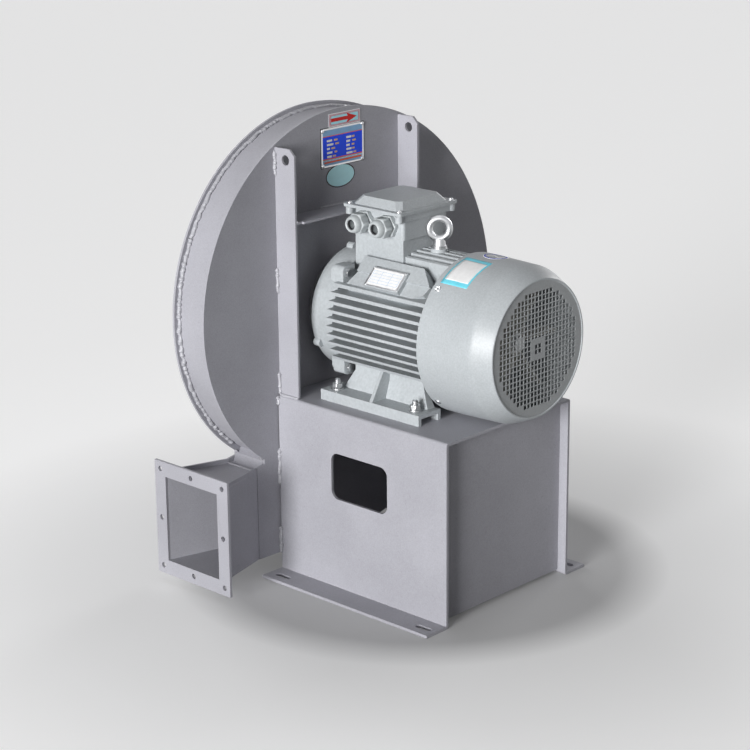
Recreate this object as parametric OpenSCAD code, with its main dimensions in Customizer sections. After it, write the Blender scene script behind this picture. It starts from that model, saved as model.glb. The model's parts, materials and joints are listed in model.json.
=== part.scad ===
/* [Casing] */
// Width of the casing over both side plates
case_w = 90; // [84:1:100]
// Thickness of the side plates
plate_t = 5; // [4:0.5:6]
// How far the side plates stand out past the wrapper sheet
lip = 12; // [8:1:16]
// Thickness of the wrapper sheet
wrap_t = 4; // [3:0.5:5]
// Radius of the side plates near the cut-off
scroll_r = 369; // [364:1:376]
// Growth of that radius over the left quarter
grow_left = 20.3; // [16:0.1:24]
// Growth of that radius over the top quarter
grow_top = 75.2; // [70:0.1:80]
// Loss of that radius over the last quarter
trim_right = 19.9; // [16:0.1:24]
// Height of the air passage at the cut-off
throat_h = 178; // [170:1:186]
// Radius of the shaft hole in the motor side plate
near_hole_r = 60; // [55:1:66]

/* [Outlet] */
// Distance from the motor axis to the bend where the duct starts
duct_x = 250; // [244:1:260]
// Length of the outlet duct with its flange
duct_len = 141; // [130:1:160]
// Inner width of the outlet opening
out_w = 152; // [140:1:164]
// Inner height of the outlet opening
out_h = 181; // [179:1:190]
// Width of the flange bar
out_bar = 31; // [28:1:36]
// Thickness of the flange bar
out_bar_t = 6; // [5:0.5:8]
// How far the duct sides stand out past its top sheet
duct_lip_top = 9; // [4:1:12]
// How far the duct sides stand out past its bottom sheet
duct_lip_low = 4; // [2:1:8]
// Spacing of the flange bolts across the width
out_bolt_y = 182; // [178:1:184]
// Spacing of the flange bolts over the height
out_bolt_z = 210; // [206:1:213]
// Radius of the flange bolt holes
out_hole_r = 5.5; // [4:0.5:7]

/* [Inlet] */
// Inner radius of the inlet collar
inlet_r = 150; // [146:1:156]
// Thickness of the collar sheet and the cone sheet
inlet_t = 3; // [2:0.5:4]
// Length of the inlet beyond the far side plate
inlet_len = 60; // [50:1:80]
// Outer radius of the duct flange and of the base rings
inlet_flange_r = 190; // [186:1:196]
// Thickness of the duct flange
inlet_flange_t = 5; // [4:0.5:6]
// Thickness of the base rings bolted to the side plate
ring_t = 4; // [3:0.5:5]
// Bolt circle radius of the inlet flanges
inlet_pcr = 170; // [168:0.5:173]
// Radius of the duct flange bolt holes
inlet_hole_r = 5; // [4:0.5:6]
// Number of bolt holes in each inlet flange
inlet_holes = 8; // [6:1:12]
// Inner radius of the cone where it enters the impeller
throat_r = 138; // [134:1:140]

/* [Uprights and brace] */
// How far the uprights stand out from the side plate
up_w = 54; // [48:1:60]
// Thickness of the uprights
up_t = 6; // [5:0.5:8]
// Drop from the edge of the side plate to the top of an upright
up_drop = 4; // [2:0.5:8]
// Radius of the lifting holes
lift_r = 10; // [8:0.5:12]
// Rise of the cross brace over the motor axis
brace_up = 199; // [189:1:219]
// Width of the cross brace
brace_w = 60; // [54:1:64]
// Thickness of the cross brace
brace_t = 5; // [4:0.5:8]

/* [Stand] */
// Width of the stand over its sides
stand_w = 375; // [365:1:385]
// Length of the stand
stand_l = 454; // [445:1:464]
// Height of the stand
stand_h = 381; // [372:1:390]
// Sheet thickness of the stand
stand_t = 6; // [5:0.5:7]
// Width of the foot flanges
foot_w = 57; // [50:1:64]
// Gap between the stand and the side plate, bridged by the welds
stand_gap = 2; // [1:0.5:3]
// Length of the window in the left side
window_l = 152; // [140:1:164]
// Height of the window in the left side
window_h = 97; // [88:1:106]
// Corner radius of the window
window_r = 18; // [12:1:24]
// Length of the foot slots
slot_l = 38; // [34:1:44]
// Half width of the foot slots
slot_r = 6.5; // [5:0.5:8]
// How far the end plate is set back from the end of the stand
end_setback = 20; // [14:1:30]

/* [Motor] */
// Height of the shaft over the feet
shaft_h = 160; // [158:0.5:162]
// Spacing of the foot bolts across the motor
foot_a = 254; // [250:1:258]
// Spacing of the foot bolts along the motor
foot_b = 210; // [204:1:216]
// Distance from the shaft shoulder to the first foot bolts
foot_c = 108; // [106:1:112]
// Length of the shaft end beyond its shoulder
shaft_e = 110; // [106:1:112]
// Radius of the shaft end
shaft_r = 21; // [19:0.5:22]
// Outer radius of the frame tube
frame_r = 112; // [106:1:120]
// Wall of the frame tube
frame_wall = 12; // [10:0.5:14]
// Length of the frame tube
frame_l = 276; // [272:1:284]
// How far the fins stand out of the frame tube
fin_h = 38; // [34:1:40]
// Pitch of the fins
fin_pitch = 16.6; // [15.6:0.2:17]
// Fin thickness at the root
fin_root_t = 7.5; // [6:0.5:8]
// Fin thickness at the tip
fin_tip_t = 5.5; // [4:0.5:6.5]
// Number of fins on each side
side_fins = 10; // [8:1:10]
// Number of fins on the top
top_fins = 7; // [5:1:7]

/* [Fan cowl] */
// How far the cowl stands out past the fins
cowl_over = 9; // [6:1:14]
// Loss of radius from the open end of the cowl to its crease
cowl_taper = 3; // [1:1:7]
// Loss of radius from the open end of the cowl to its flat face
cowl_nose = 24; // [20:1:28]
// Sheet thickness of the cowl
cowl_t = 2; // [1.5:0.5:3]
// Length of the cowl
cowl_l = 172; // [164:1:180]
// Loss of radius from the open end of the cowl to its grille
grille_in = 37; // [33:1:41]
// Pitch of the grille holes
grille_pitch = 10.4; // [9.4:0.2:12]
// Side of a grille hole
grille_hole = 7.2; // [6:0.2:8]

/* [Terminal box] */
// Width of the box across the motor
box_w = 130; // [124:1:136]
// Length of the box along the motor
box_l = 134; // [128:1:140]
// Height of the box body
box_h = 52; // [46:1:58]
// Wall of the box
box_wall = 5; // [4:0.5:6]
// Height of the pedestal under the box, from the frame tube
ped_h = 63; // [55:1:71]
// How far the lid stands out past the box
lid_over = 20; // [14:1:22]
// Thickness of the lid rim
lid_rim = 6; // [4:0.5:8]
// Height of the hipped top of the lid
lid_hip = 16; // [12:1:20]

/* [Impeller] */
// Outer radius of the impeller
wheel_r = 288; // [280:1:292]
// Number of blades
blades = 12; // [10:1:14]
// Blade thickness
blade_t = 3; // [2:0.5:4]
// Radius of the curve of a blade
blade_bend = 176; // [170:1:184]
// Thickness of the back disc
disc_t = 4; // [3:0.5:5]
// Gap between the back disc and the motor side plate
disc_gap = 12; // [10:0.5:14]
// Outer radius of the hub
hub_r = 42; // [38:1:46]

/* [Hidden] */
$fn = 64;
quarter = 90;
half_turn = 180;
turn = 360;
// Overrun of cuts
cut = 1;
// Running clearance between bolts and their holes
bolt_gap = 0.3;
// Number of corner or cross positions in a set of four
four = 4;

// Main stations: X from the motor axis, Y from the outer face of the motor side plate
axis_z = stand_h + shaft_h;
shoulder_y = -3;
foot_y1 = shoulder_y - foot_c;
foot_y2 = foot_y1 - foot_b;
frame_gap = 28;
frame_setback = 86;
frame_y1 = -frame_setback;
frame_y0 = frame_y1 - frame_l;
far_in = case_w - plate_t;

// Scroll arcs, each with its centre and its radius
arc_shift = 13.9;
arc_lift = 12;
ll_x = -arc_shift;
ll_z = axis_z + arc_lift;
ll_r = scroll_r;
ul_r = ll_r + grow_left;
ul_x = ll_x + grow_left;
ul_z = ll_z;
ur_r = ul_r + grow_top;
ur_x = ul_x;
ur_z = ul_z - grow_top;
lr_r = ur_r - trim_right;
lr_x = ur_x + trim_right;
lr_z = ur_z;
skin = lip + wrap_t;
passage_z = lr_z - lr_r + skin;
notch_z = passage_z + throat_h + skin;
notch_x = ll_x - sqrt(pow(ll_r, 2) - pow(ll_z - notch_z, 2));
notch_a = atan2(ll_z - notch_z, ll_x - notch_x);
reach = ur_r * 2;
plate_low_z = passage_z - wrap_t - duct_lip_low;
plate_top_z = passage_z + throat_h + wrap_t + duct_lip_top;
nose_fill = 14;
nose_x = notch_x - nose_fill;
nose_z = ll_z - sqrt(pow(ll_r, 2) - pow(nose_x - ll_x, 2));
nose_back = 8;
nose_step = 1.2;
wrap_end_x = ll_x - (ll_r - lip) * cos(notch_a - nose_step);
wrap_end_z = ll_z - (ll_r - lip) * sin(notch_a - nose_step);

// Outlet
flange_x = -duct_x - duct_len;
duct_end_x = flange_x + out_bar_t;
case_mid = case_w / 2;
out_mid_z = passage_z + out_h / 2;
flange_w = out_w + out_bar * 2;
flange_h = out_h + out_bar * 2;

// Row frame: middle of the whole part, on the floor
part_x0 = flange_x;
part_x1 = ur_x + ur_r;
cowl_lap = 9;
cowl_y1 = frame_y0 + cowl_lap;
cowl_y0 = cowl_y1 - cowl_l;
part_y1 = case_w + inlet_len;
row_x = -(part_x0 + part_x1) / 2;
row_y = -(cowl_y0 + part_y1) / 2;

// Uprights
up_bend = stand_t;
up_face = stand_w / 2 - up_bend;
up_left_z = ul_z + sqrt(pow(ul_r, 2) - pow(up_face + ul_x, 2)) - up_drop;
up_right_z = ur_z + sqrt(pow(ur_r, 2) - pow(up_face - ur_x, 2)) - up_drop;
up_cut = 13;
brace_z = axis_z + brace_up;
lift_in = 30;
lift_down = 23;

// Stand details
slot_in = 33;
slot_end = 30;
window_mid_y = -225;
window_down = 136;
window_mid_z = stand_h - window_down;
end_t = 5;
end_low = 8;

// Welds
weld_r = 3.5;
weld_l = 60;
weld_short = 36;

// Seal plate
seal_r = 95;
seal_t = 6;
seal_pcr = 80;
seal_screw_r = 4;
seal_head_r = 7;
seal_head_h = 5;
seal_count = 6;
seal_gap = 1.5;

// Motor shaft
core_shaft_r = 30;
bearing_bore = 22.5;
fan_seat_r = 15;
bearing_r = 50;
bearing_w = 25;
race_t = 8.5;
ball_gap = 0.3;
drive_bearing_y = -74;
fan_bearing_out = 28;
fan_bearing_y = frame_y0 - fan_bearing_out;
shaft_tail = 34;
fan_seat_l = 54;
fan_seat_y = fan_bearing_y - shaft_tail - fan_seat_l;
key_w = 12;
key_h = 8;
key_l = 80;
key_in = 12;

// Stator and rotor
core_l = 170;
core_y0 = (foot_y1 + foot_y2) / 2 - core_l / 2;
air_gap = 0.7;
rotor_share = 0.547;
rotor_r = frame_r * rotor_share;
coil_l = 28;
coil_in = 5;
coil_out = 4;
coil_r0 = rotor_r + coil_in;
coil_r1 = frame_r - frame_wall - coil_out;
end_ring_l = 14;
end_ring_t = 14;

// Shields
shield_over = 15;
shield_r = frame_r + shield_over;
shield_dome = 12;
frame_rim_l = 12;
fin_stop = 17;
shield_face_t = 12;
shield_rim_t = 10;
shield_flange_t = 8;
shield_hub_r = 62;
shield_hole_r = 26;
spigot_l = 10;
ear_r = 9;
ear_out = shield_r;
ear_l = 18;
ear_back = 1;
ear_turns = [25, 155, 263];
lug_in_share = 0.7;
lug_at_share = 0.875;
lug_in = frame_r * lug_in_share;
lug_at = frame_r * lug_at_share;
lug_side = frame_r;
shield_lug_in = 5;
lug_round = 10;
lug_l = 30;
lug_angle = 45;
shield_lug_l = 9;
m10_r = 5;
m10_head_r = 9.2;
m10_head_h = 6.4;
fan_shield_t = 12;
cowl_lug_w = 22;
cowl_lug_l = 14;
cowl_lug_over = 2;
m6_r = 3;
m6_head_r = 6.5;
m6_head_h = 3.5;
m6_grip = 20;

// Frame details
fin_tip_r = frame_r + fin_h;
side_fin_up = 3.5;
pad_w = 72;
pad_l = 206;
pad_s0 = -28;
pad_y0 = -329;
pad_drop = 8;
pad_step = 4;
pad_sink = 12;
pad_h = fin_tip_r - pad_drop;
plate_pad_w = 46;
plate_pad_l = 91;
plate_pad_h = 6;
plate_pad_y = -223.5;
ped_w = 118;
ped_l = 129;
ped_y = -165;
ped_wall = 10;
ped_floor = 8;
boss_r = 17;
boss_h = 44;
boss_top = axis_z + frame_r + boss_h;
boss_y = -271;

// Feet
rail_w = 64;
rail_h = 22;
rail_t = 8;
rail_over_fan = 28;
rail_over_drive = 27;
rail_over_side = 21;
rail_y0 = foot_y2 - rail_over_fan;
rail_y1 = foot_y1 + rail_over_drive;
rail_out = foot_a / 2 + rail_over_side;
web_t = 9;
web_in = 2;
web_in_fan = 14;
web_in_drive = 27;
web_y0 = rail_y0 + web_in_fan;
web_y1 = rail_y1 - web_in_drive;
web_spread = 12;
web_slope = 20;
web_rise = 38;
web_edge = 1;
rib_t = 8;
rib_y = -221;
rib_top = 56;

// Foot fasteners
m12_r = 6;
m12_hole_r = 7;
m12_flat = 19;
m12_head_h = 7.5;
m12_nut_h = 10;
m12_washer_r = 13;
m12_washer_t = 3;
m12_spare = 9;

// Terminal box details
box_round = 7;
box_y = -168;
box_z = axis_z + frame_r + ped_h;
box_inner_round = 4;
box_hole = 84;
gasket_t = 1;
gasket_in = 9;
lid_round = 5;
lid_margin = 12;
lid_hip_in = 13;
lid_chamfer = 10;
lid_flat_skin = 1;
lid_screw_in = 9;
lid_screw_in_y = 11;
lid_ear_r = 8;
lid_ear_h = 14;
lid_thread_l = 12;
lid_w = box_w + lid_over * 2;
lid_l = box_l + lid_over;
lid_screw_x = lid_w / 2 - lid_screw_in;
lid_screw_y = lid_l / 2 - lid_screw_in_y;
lid_screw_r = 2.5;
lid_head_r = 4.6;
lid_head_h = 3;
board_w = 60;
board_l = 74;
board_h = 14;
stud_r = 2.5;
stud_h = 16;
stud_nut_r = 5;
stud_nut_h = 5;
stud_pitch_x = 30;
stud_pitch_y = 22;
stud_rows = 3;

// Cable glands
gland_r = 16;
gland_bore = 10;
gland_flat = 41;
gland_nut_flat = 35;
gland_cap_flat = 38.5;
gland_base_h = 10;
gland_neck_h = 3;
gland_cap_h = 20;
gland_nose_h = 14;
gland_nose_r = 18;
gland_nose_tip = 14;
gland_nut_h = 6;
gland_pitch = 62;
gland_up = 26;

// Eye bolt
eye_mid_r = 20;
eye_wire_r = 6.8;
eye_neck_r = 11;
eye_collar_r = 15;
eye_collar_h = 6;
eye_up = 39;
eye_z = boss_top + eye_up;
eye_turn = -45;
eye_shank_r = 6;
eye_shank_l = 18;
eye_web = 2;

// Cowl
cowl_face_t = 2;
cowl_r = fin_tip_r + cowl_over;
cowl_crease_r = cowl_r - cowl_taper;
cowl_face_r = cowl_r - cowl_nose;
cowl_crease_l = 42;
cowl_cone_l = 9;
cowl_cone_in = 17;
cowl_crease_y = cowl_y0 + cowl_crease_l;
cowl_cone_y = cowl_y0 + cowl_cone_l;
cowl_cone_r = cowl_r - cowl_cone_in;
grille_r = cowl_r - grille_in;
cowl_screw_in = 13;
grille_edge = 5;
badge_out = 23;
badge_in = 14;
grille_n = floor(grille_r / grille_pitch);

// Cooling fan
cool_hub_r = 24;
cool_hub_l = 46;
cool_gap = 31;
cool_r = cowl_r - cool_gap;
cool_disc_share = 0.61;
cool_disc_r = cool_r * cool_disc_share;
cool_disc_t = 4;
cool_blade_t = 3.5;
cool_blade_l = 42;
cool_blades = 7;
cool_y1 = fan_bearing_y - shaft_tail;
ring_r = 18;
ring_w = 1.5;
ring_groove = 13.8;

// Impeller
hub_face = 8;
hub_flange_r = 78;
hub_flange_t = 10;
hub_over = 2;
rivet_r = 5;
rivet_pcr = 64;
rivet_head_r = 9;
rivet_head_h = 4;
rivets = 8;
disc_y = plate_t + disc_gap;
wheel_in_r = 150;
eye_wall = 4;
blade_off = 190;
shroud_t = 3;
shroud_eye_y = 70;
shroud_tip_y = 62;
shroud_lip = 7;
cone_gap = 4;
cone_flare = 14;
washer_r = 30;
washer_t = 6;
m16_r = 8;
m16_flat = 24;
m16_head_h = 10;
m16_deep = 30;
shaft_end_y = shoulder_y + shaft_e;
hub_end_y = shaft_end_y + hub_over;
washer_y = hub_end_y;

// Inlet details
inlet_end_y = case_w + inlet_len;
cone_ring_y = case_w;
collar_ring_y = case_w + ring_t;
m8_r = 4;
m8_head_r = 7.5;
m8_head_h = 5.3;

// Colours as the photograph shows them
c_paint = [0.60, 0.60, 0.65];
c_dark = [0.42, 0.40, 0.43];
c_light = [0.74, 0.76, 0.80];
c_motor = [0.72, 0.77, 0.78];
c_cowl = [0.70, 0.75, 0.75];
c_zinc = [0.78, 0.79, 0.80];
c_steel = [0.62, 0.63, 0.65];
c_black = [0.12, 0.12, 0.13];
c_copper = [0.68, 0.40, 0.22];
c_fan = [0.86, 0.83, 0.76];

// Places the model in its row frame
module row() {
  translate([row_x, row_y, 0]) children();
}

// Cylinder along Y from y0 to y1
module ycyl(r, y0, y1) {
  translate([0, y0, 0]) rotate([-quarter, 0, 0]) cylinder(r = r, h = y1 - y0);
}

// Cylinder along X from x0 to x1
module xcyl(r, x0, x1) {
  translate([x0, 0, 0]) rotate([0, quarter, 0]) cylinder(r = r, h = x1 - x0);
}

// Outline in X and Z, extruded along Y from y0 to y1
module along_y(y0, y1) {
  translate([0, y1, 0]) rotate([quarter, 0, 0]) linear_extrude(height = y1 - y0) children();
}

// Outline in Y and Z, extruded along X from x0 to x1
module along_x(x0, x1) {
  translate([x0, 0, 0]) rotate([quarter, 0, quarter]) linear_extrude(height = x1 - x0) children();
}

// Profile in radius and Y, turned about the motor axis
module turned() {
  rotate([-quarter, 0, 0]) rotate_extrude($fn = 96) children();
}

// Box between two corners
module box(x0, x1, y0, y1, z0, z1) {
  translate([x0, y0, z0]) cube([x1 - x0, y1 - y0, z1 - z0]);
}

// Hexagon prism along X with its flats across
module xhex(flat, x0, x1) {
  translate([x0, 0, 0]) rotate([0, quarter, 0])
    cylinder(r = flat / sqrt(3), h = x1 - x0, $fn = 6);
}

// Hexagon prism along Z
module zhex(flat, z0, z1) {
  translate([0, 0, z0]) cylinder(r = flat / sqrt(3), h = z1 - z0, $fn = 6);
}

// Hexagon prism along Y
module yhex(flat, y0, y1) {
  translate([0, y0, 0]) rotate([-quarter, 0, 0]) cylinder(r = flat / sqrt(3), h = y1 - y0, $fn = 6);
}

// Box with four upright rounded edges, centred in X and Y
module round_box(w, l, z0, z1, r) {
  box(-w / 2 + r, w / 2 - r, -l / 2, l / 2, z0, z1);
  box(-w / 2, w / 2, -l / 2 + r, l / 2 - r, z0, z1);
  for (sx = [-1, 1]) for (sy = [-1, 1])
    translate([sx * (w / 2 - r), sy * (l / 2 - r), z0]) cylinder(r = r, h = z1 - z0, $fn = 32);
}

// Centre of the motor axis
module at_axis() {
  translate([0, 0, axis_z]) children();
}

// Disc of one scroll arc clipped to its quarter, inset by e
module arc_ll(e) {
  intersection() {
    translate([ll_x, ll_z]) circle(r = ll_r - e, $fn = 160);
    translate([ll_x - reach, ll_z - reach]) square([reach, reach]);
  }
}
module arc_ul(e) {
  intersection() {
    translate([ul_x, ul_z]) circle(r = ul_r - e, $fn = 160);
    translate([ul_x - reach, ul_z]) square([reach, reach]);
  }
}
module arc_ur(e) {
  intersection() {
    translate([ur_x, ur_z]) circle(r = ur_r - e, $fn = 160);
    translate([ur_x, ur_z]) square([reach, reach]);
  }
}
module arc_lr(e) {
  intersection() {
    translate([lr_x, lr_z]) circle(r = lr_r - e, $fn = 160);
    translate([lr_x, lr_z - reach]) square([reach, reach]);
  }
}

// Outline of the scroll with its outlet, inset by e
module volute(e) {
  arc_ll(e);
  arc_ul(e);
  arc_ur(e);
  arc_lr(e);
  floor_z = passage_z - skin + e;
  polygon([[-duct_x, plate_low_z + e], [lr_x, floor_z], [lr_x, notch_z], [notch_x, notch_z],
    [nose_x, nose_z], [nose_x, notch_z], [-duct_x, plate_top_z]]);
  translate([ll_x, notch_z - cut]) square([ul_x - ll_x, ll_z - notch_z + cut]);
  translate([ul_x, notch_z - cut]) square([lr_x - ul_x, lr_z - notch_z + cut]);
}

// Flat side plate between two stations
module side_plate(y0, y1) {
  along_y(y0, y1) volute(0);
}

module casing_near_plate() {
  row() color(c_dark) difference() {
    side_plate(0, plate_t);
    at_axis() ycyl(near_hole_r, -cut, plate_t + cut);
    at_axis() for (i = [0:seal_count - 1]) rotate([0, i * turn / seal_count, 0])
      translate([seal_pcr, 0, 0]) ycyl(seal_screw_r, -cut, plate_t + cut);
  }
}

module casing_far_plate() {
  row() color(c_paint) difference() {
    side_plate(far_in, case_w);
    at_axis() ycyl(inlet_r, far_in - cut, case_w + cut);
    at_axis() inlet_ring(m8_r, far_in - cut, case_w + cut);
  }
}

// Wedge in X and Z from a centre, between two angles under a half turn
module wedge(cx, cz, a0, a1) {
  am = (a0 + a1) / 2;
  polygon([[cx, cz], [cx + reach * cos(a0), cz + reach * sin(a0)],
    [cx + reach * cos(am), cz + reach * sin(am)], [cx + reach * cos(a1), cz + reach * sin(a1)]]);
}

module scroll_wrapper() {
  row() color(c_paint) along_y(plate_t, far_in) {
    difference() {
      intersection() {
        arc_ll(lip);
        wedge(ll_x, ll_z, half_turn, half_turn + notch_a);
      }
      arc_ll(skin);
    }
    difference() {
      arc_ul(lip);
      arc_ul(skin);
    }
    difference() {
      arc_ur(lip);
      arc_ur(skin);
    }
    difference() {
      arc_lr(lip);
      arc_lr(skin);
    }
    translate([-duct_x, passage_z - wrap_t]) square([duct_x + lr_x, wrap_t]);
  }
}

module tongue_plate() {
  row() color(c_light) along_y(plate_t, far_in) {
    intersection() {
      difference() {
        translate([notch_x, notch_z]) circle(r = skin);
        translate([notch_x, notch_z]) circle(r = lip);
      }
      wedge(notch_x, notch_z, -quarter, notch_a);
    }
    translate([-duct_x, notch_z - skin]) square([duct_x + notch_x, wrap_t]);
    polygon([[nose_x - nose_back, notch_z - lip], [nose_x, nose_z - wrap_t], [wrap_end_x, wrap_end_z],
      [wrap_end_x + wrap_t, wrap_end_z - wrap_t], [nose_x + wrap_t, nose_z - wrap_t * 2],
      [nose_x - nose_back + wrap_t, notch_z - skin]]);
  }
}

// Side panel of the duct, its inner face at y0 by the casing and at y1 by the flange
module duct_side(y0, y1) {
  hull() {
    box(-duct_x - cut, -duct_x, y0, y0 + wrap_t, plate_low_z, plate_top_z);
    box(duct_end_x, duct_end_x + cut, y1, y1 + wrap_t, plate_low_z, passage_z + out_h + wrap_t + duct_lip_top);
  }
}

module outlet_duct() {
  row() color(c_paint) duct_side(plate_t - wrap_t, case_mid - out_w / 2 - wrap_t);
  row() color(c_paint) duct_side(far_in, case_mid + out_w / 2);
  row() color(c_paint) difference() {
    hull() {
      box(-duct_x - cut, -duct_x, plate_t - wrap_t, far_in + wrap_t,
        passage_z - wrap_t, passage_z + throat_h + wrap_t);
      box(duct_end_x, duct_end_x + cut, case_mid - out_w / 2 - wrap_t,
        case_mid + out_w / 2 + wrap_t, passage_z - wrap_t, passage_z + out_h + wrap_t);
    }
    hull() {
      box(-duct_x, -duct_x + cut, plate_t, far_in, passage_z, passage_z + throat_h);
      box(duct_end_x - cut, duct_end_x, case_mid - out_w / 2, case_mid + out_w / 2,
        passage_z, passage_z + out_h);
    }
  }
}

module outlet_flange() {
  row() color(c_paint) translate([0, case_mid, out_mid_z]) difference() {
    box(flange_x, duct_end_x, -flange_w / 2, flange_w / 2, -flange_h / 2, flange_h / 2);
    box(flange_x - cut, duct_end_x + cut, -out_w / 2, out_w / 2, -out_h / 2, out_h / 2);
    for (sy = [-1, 0, 1]) for (sz = [-1, 0, 1]) if (sy != 0 || sz != 0)
      translate([0, sy * out_bolt_y / 2, sz * out_bolt_z / 2])
        xcyl(out_hole_r, flange_x - cut, duct_end_x + cut);
  }
}

// Ring of inlet bolt positions
module inlet_ring(r, y0, y1) {
  for (i = [0:inlet_holes - 1]) rotate([0, (i + 1 / 2) * turn / inlet_holes, 0])
    translate([inlet_pcr, 0, 0]) ycyl(r, y0, y1);
}

module inlet_cone() {
  lip_y = shroud_eye_y;
  row() color(c_paint) at_axis() difference() {
    turned() polygon([[throat_r, lip_y], [throat_r + inlet_t, lip_y],
      [throat_r + inlet_t, lip_y + cone_flare], [inlet_r, cone_ring_y],
      [inlet_flange_r, cone_ring_y], [inlet_flange_r, cone_ring_y + ring_t],
      [inlet_r - inlet_t, cone_ring_y + ring_t], [throat_r, lip_y + cone_flare + inlet_t]]);
    inlet_ring(m8_r, cone_ring_y - cut, cone_ring_y + ring_t + cut);
  }
}

module inlet_collar() {
  row() color(c_paint) at_axis() difference() {
    union() {
      ycyl(inlet_flange_r, collar_ring_y, collar_ring_y + ring_t, $fn = 96);
      ycyl(inlet_r + inlet_t, collar_ring_y, inlet_end_y, $fn = 96);
      ycyl(inlet_flange_r, inlet_end_y - inlet_flange_t, inlet_end_y, $fn = 96);
    }
    ycyl(inlet_r, collar_ring_y - cut, inlet_end_y + cut, $fn = 96);
    inlet_ring(m8_r, collar_ring_y - cut, collar_ring_y + ring_t + cut);
    inlet_ring(inlet_hole_r, inlet_end_y - inlet_flange_t - cut, inlet_end_y + cut);
  }
}

module inlet_bolts() {
  bolt_y = collar_ring_y + ring_t;
  row() color(c_zinc) at_axis() {
    inlet_ring(m8_r, far_in, bolt_y);
    for (i = [0:inlet_holes - 1]) rotate([0, (i + 1 / 2) * turn / inlet_holes, 0])
      translate([inlet_pcr, 0, 0]) yhex(m8_head_r * sqrt(3), bolt_y, bolt_y + m8_head_h);
  }
}

module seal_plate() {
  row() color(c_steel) at_axis() difference() {
    ycyl(seal_r, -seal_t, 0);
    ycyl(bearing_bore + seal_gap, -seal_t - cut, cut);
    for (i = [0:seal_count - 1]) rotate([0, i * turn / seal_count, 0])
      translate([seal_pcr, 0, 0]) ycyl(seal_screw_r, -seal_t - cut, cut);
  }
}

module seal_screws() {
  row() color(c_zinc) at_axis() for (i = [0:seal_count - 1]) rotate([0, i * turn / seal_count, 0])
    translate([seal_pcr, 0, 0]) {
      ycyl(seal_screw_r, -seal_t, plate_t);
      ycyl(seal_head_r, -seal_t - seal_head_h, -seal_t);
    }
}

// Upright bar with a cut corner and a lifting hole, on the side given by s
module upright(s, top) {
  x0 = s > 0 ? up_face - up_t : -up_face;
  difference() {
    along_x(x0, x0 + up_t) polygon([[-up_w, stand_h], [0, stand_h], [0, top], [up_cut - up_w, top],
      [-up_w, top - up_cut]]);
    translate([0, -lift_in, top - lift_down]) xcyl(lift_r, x0 - cut, x0 + up_t + cut);
  }
}

module left_upright() {
  row() color(c_paint) upright(-1, up_left_z);
}

module right_upright() {
  row() color(c_paint) upright(1, up_right_z);
}

module cross_brace() {
  row() color(c_paint) difference() {
    box(-up_face + up_t, up_face - up_t, -brace_w, 0, brace_z, brace_z + brace_t);
    for (s = [-1, 1]) translate([s * (up_face - up_t), 0, 0])
      box(-up_cut, up_cut, -brace_w - cut, -up_w, brace_z - cut, brace_z + brace_t + cut);
  }
}

// Half of the folded stand section, for the side given by s
module stand_half(s) {
  mirror([s > 0 ? 0 : 1, 0]) {
    side = stand_w / 2;
    translate([0, stand_h - stand_t]) square([side - stand_t, stand_t]);
    translate([side - stand_t, stand_t]) square([stand_t, stand_h - stand_t * 2]);
    translate([side, 0]) square([foot_w, stand_t]);
    intersection() {
      translate([side - stand_t, stand_h - stand_t]) circle(r = stand_t);
      translate([side - stand_t, stand_h - stand_t]) square([stand_t, stand_t]);
    }
    intersection() {
      translate([side, stand_t]) circle(r = stand_t);
      translate([side - stand_t, 0]) square([stand_t, stand_t]);
    }
  }
}

module motor_stand() {
  y0 = -stand_gap - stand_l;
  side = stand_w / 2;
  row() color(c_paint) difference() {
    along_y(y0, -stand_gap) {
      stand_half(1);
      stand_half(-1);
    }
    translate([-side, window_mid_y, window_mid_z]) rotate([0, quarter, 0])
      round_box(window_h, window_l, -cut, stand_t + cut, window_r);
    for (s = [-1, 1]) for (y = [y0 + slot_end, -stand_gap - slot_end - stand_t])
      translate([s * (side + slot_in), y, 0]) {
        for (e = [-1, 1]) translate([0, e * (slot_l / 2 - slot_r), -cut])
          cylinder(r = slot_r, h = stand_t + cut * 2);
        box(-slot_r, slot_r, slot_r - slot_l / 2, slot_l / 2 - slot_r, -cut, stand_t + cut);
      }
    for (sx = [-1, 1]) for (y = [foot_y1, foot_y2]) translate([sx * foot_a / 2, y, 0])
      translate([0, 0, stand_h - stand_t - cut]) cylinder(r = m12_hole_r, h = stand_t + cut * 2);
  }
}

module stand_end_plate() {
  y0 = -stand_gap - stand_l + end_setback;
  side = stand_w / 2 - stand_t;
  row() color(c_dark) box(-side, side, y0, y0 + end_t, end_low, stand_h - stand_t);
}

// Upright weld bead in the corner at x, from z0 to z1
module bead(x, z0, z1) {
  translate([x, -weld_r / 2, z0]) cylinder(r = weld_r, h = z1 - z0, $fn = 24);
}

module stitch_welds() {
  side = stand_w / 2;
  up_h = up_left_z - stand_h;
  row() color(c_light) difference() {
    for (s = [-1, 1]) for (k = [0:2]) {
      bead(s * side, weld_low_shares[k] * stand_h, weld_low_shares[k] * stand_h + weld_l);
      bead(s * (up_face + weld_r / 2), stand_h + weld_up_shares[k] * up_h,
        stand_h + weld_up_shares[k] * up_h + weld_short);
    }
    box(-reach, reach, 0, reach, 0, reach);
    box(-side, side, -reach, -stand_gap, 0, stand_h);
    box(-up_face, up_face, -reach, 0, stand_h, reach);
  }
}
weld_low_shares = [0.1, 0.42, 0.76];
weld_up_shares = [0.1, 0.5, 0.88];

// Fin cross-section standing on the frame tube, its root at r0 and its tip past r1
module fin(r0, r1) {
  polygon([[r0, -fin_root_t / 2], [r1, -fin_tip_t / 2], [r1, fin_tip_t / 2], [r0, fin_root_t / 2]]);
}

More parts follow.
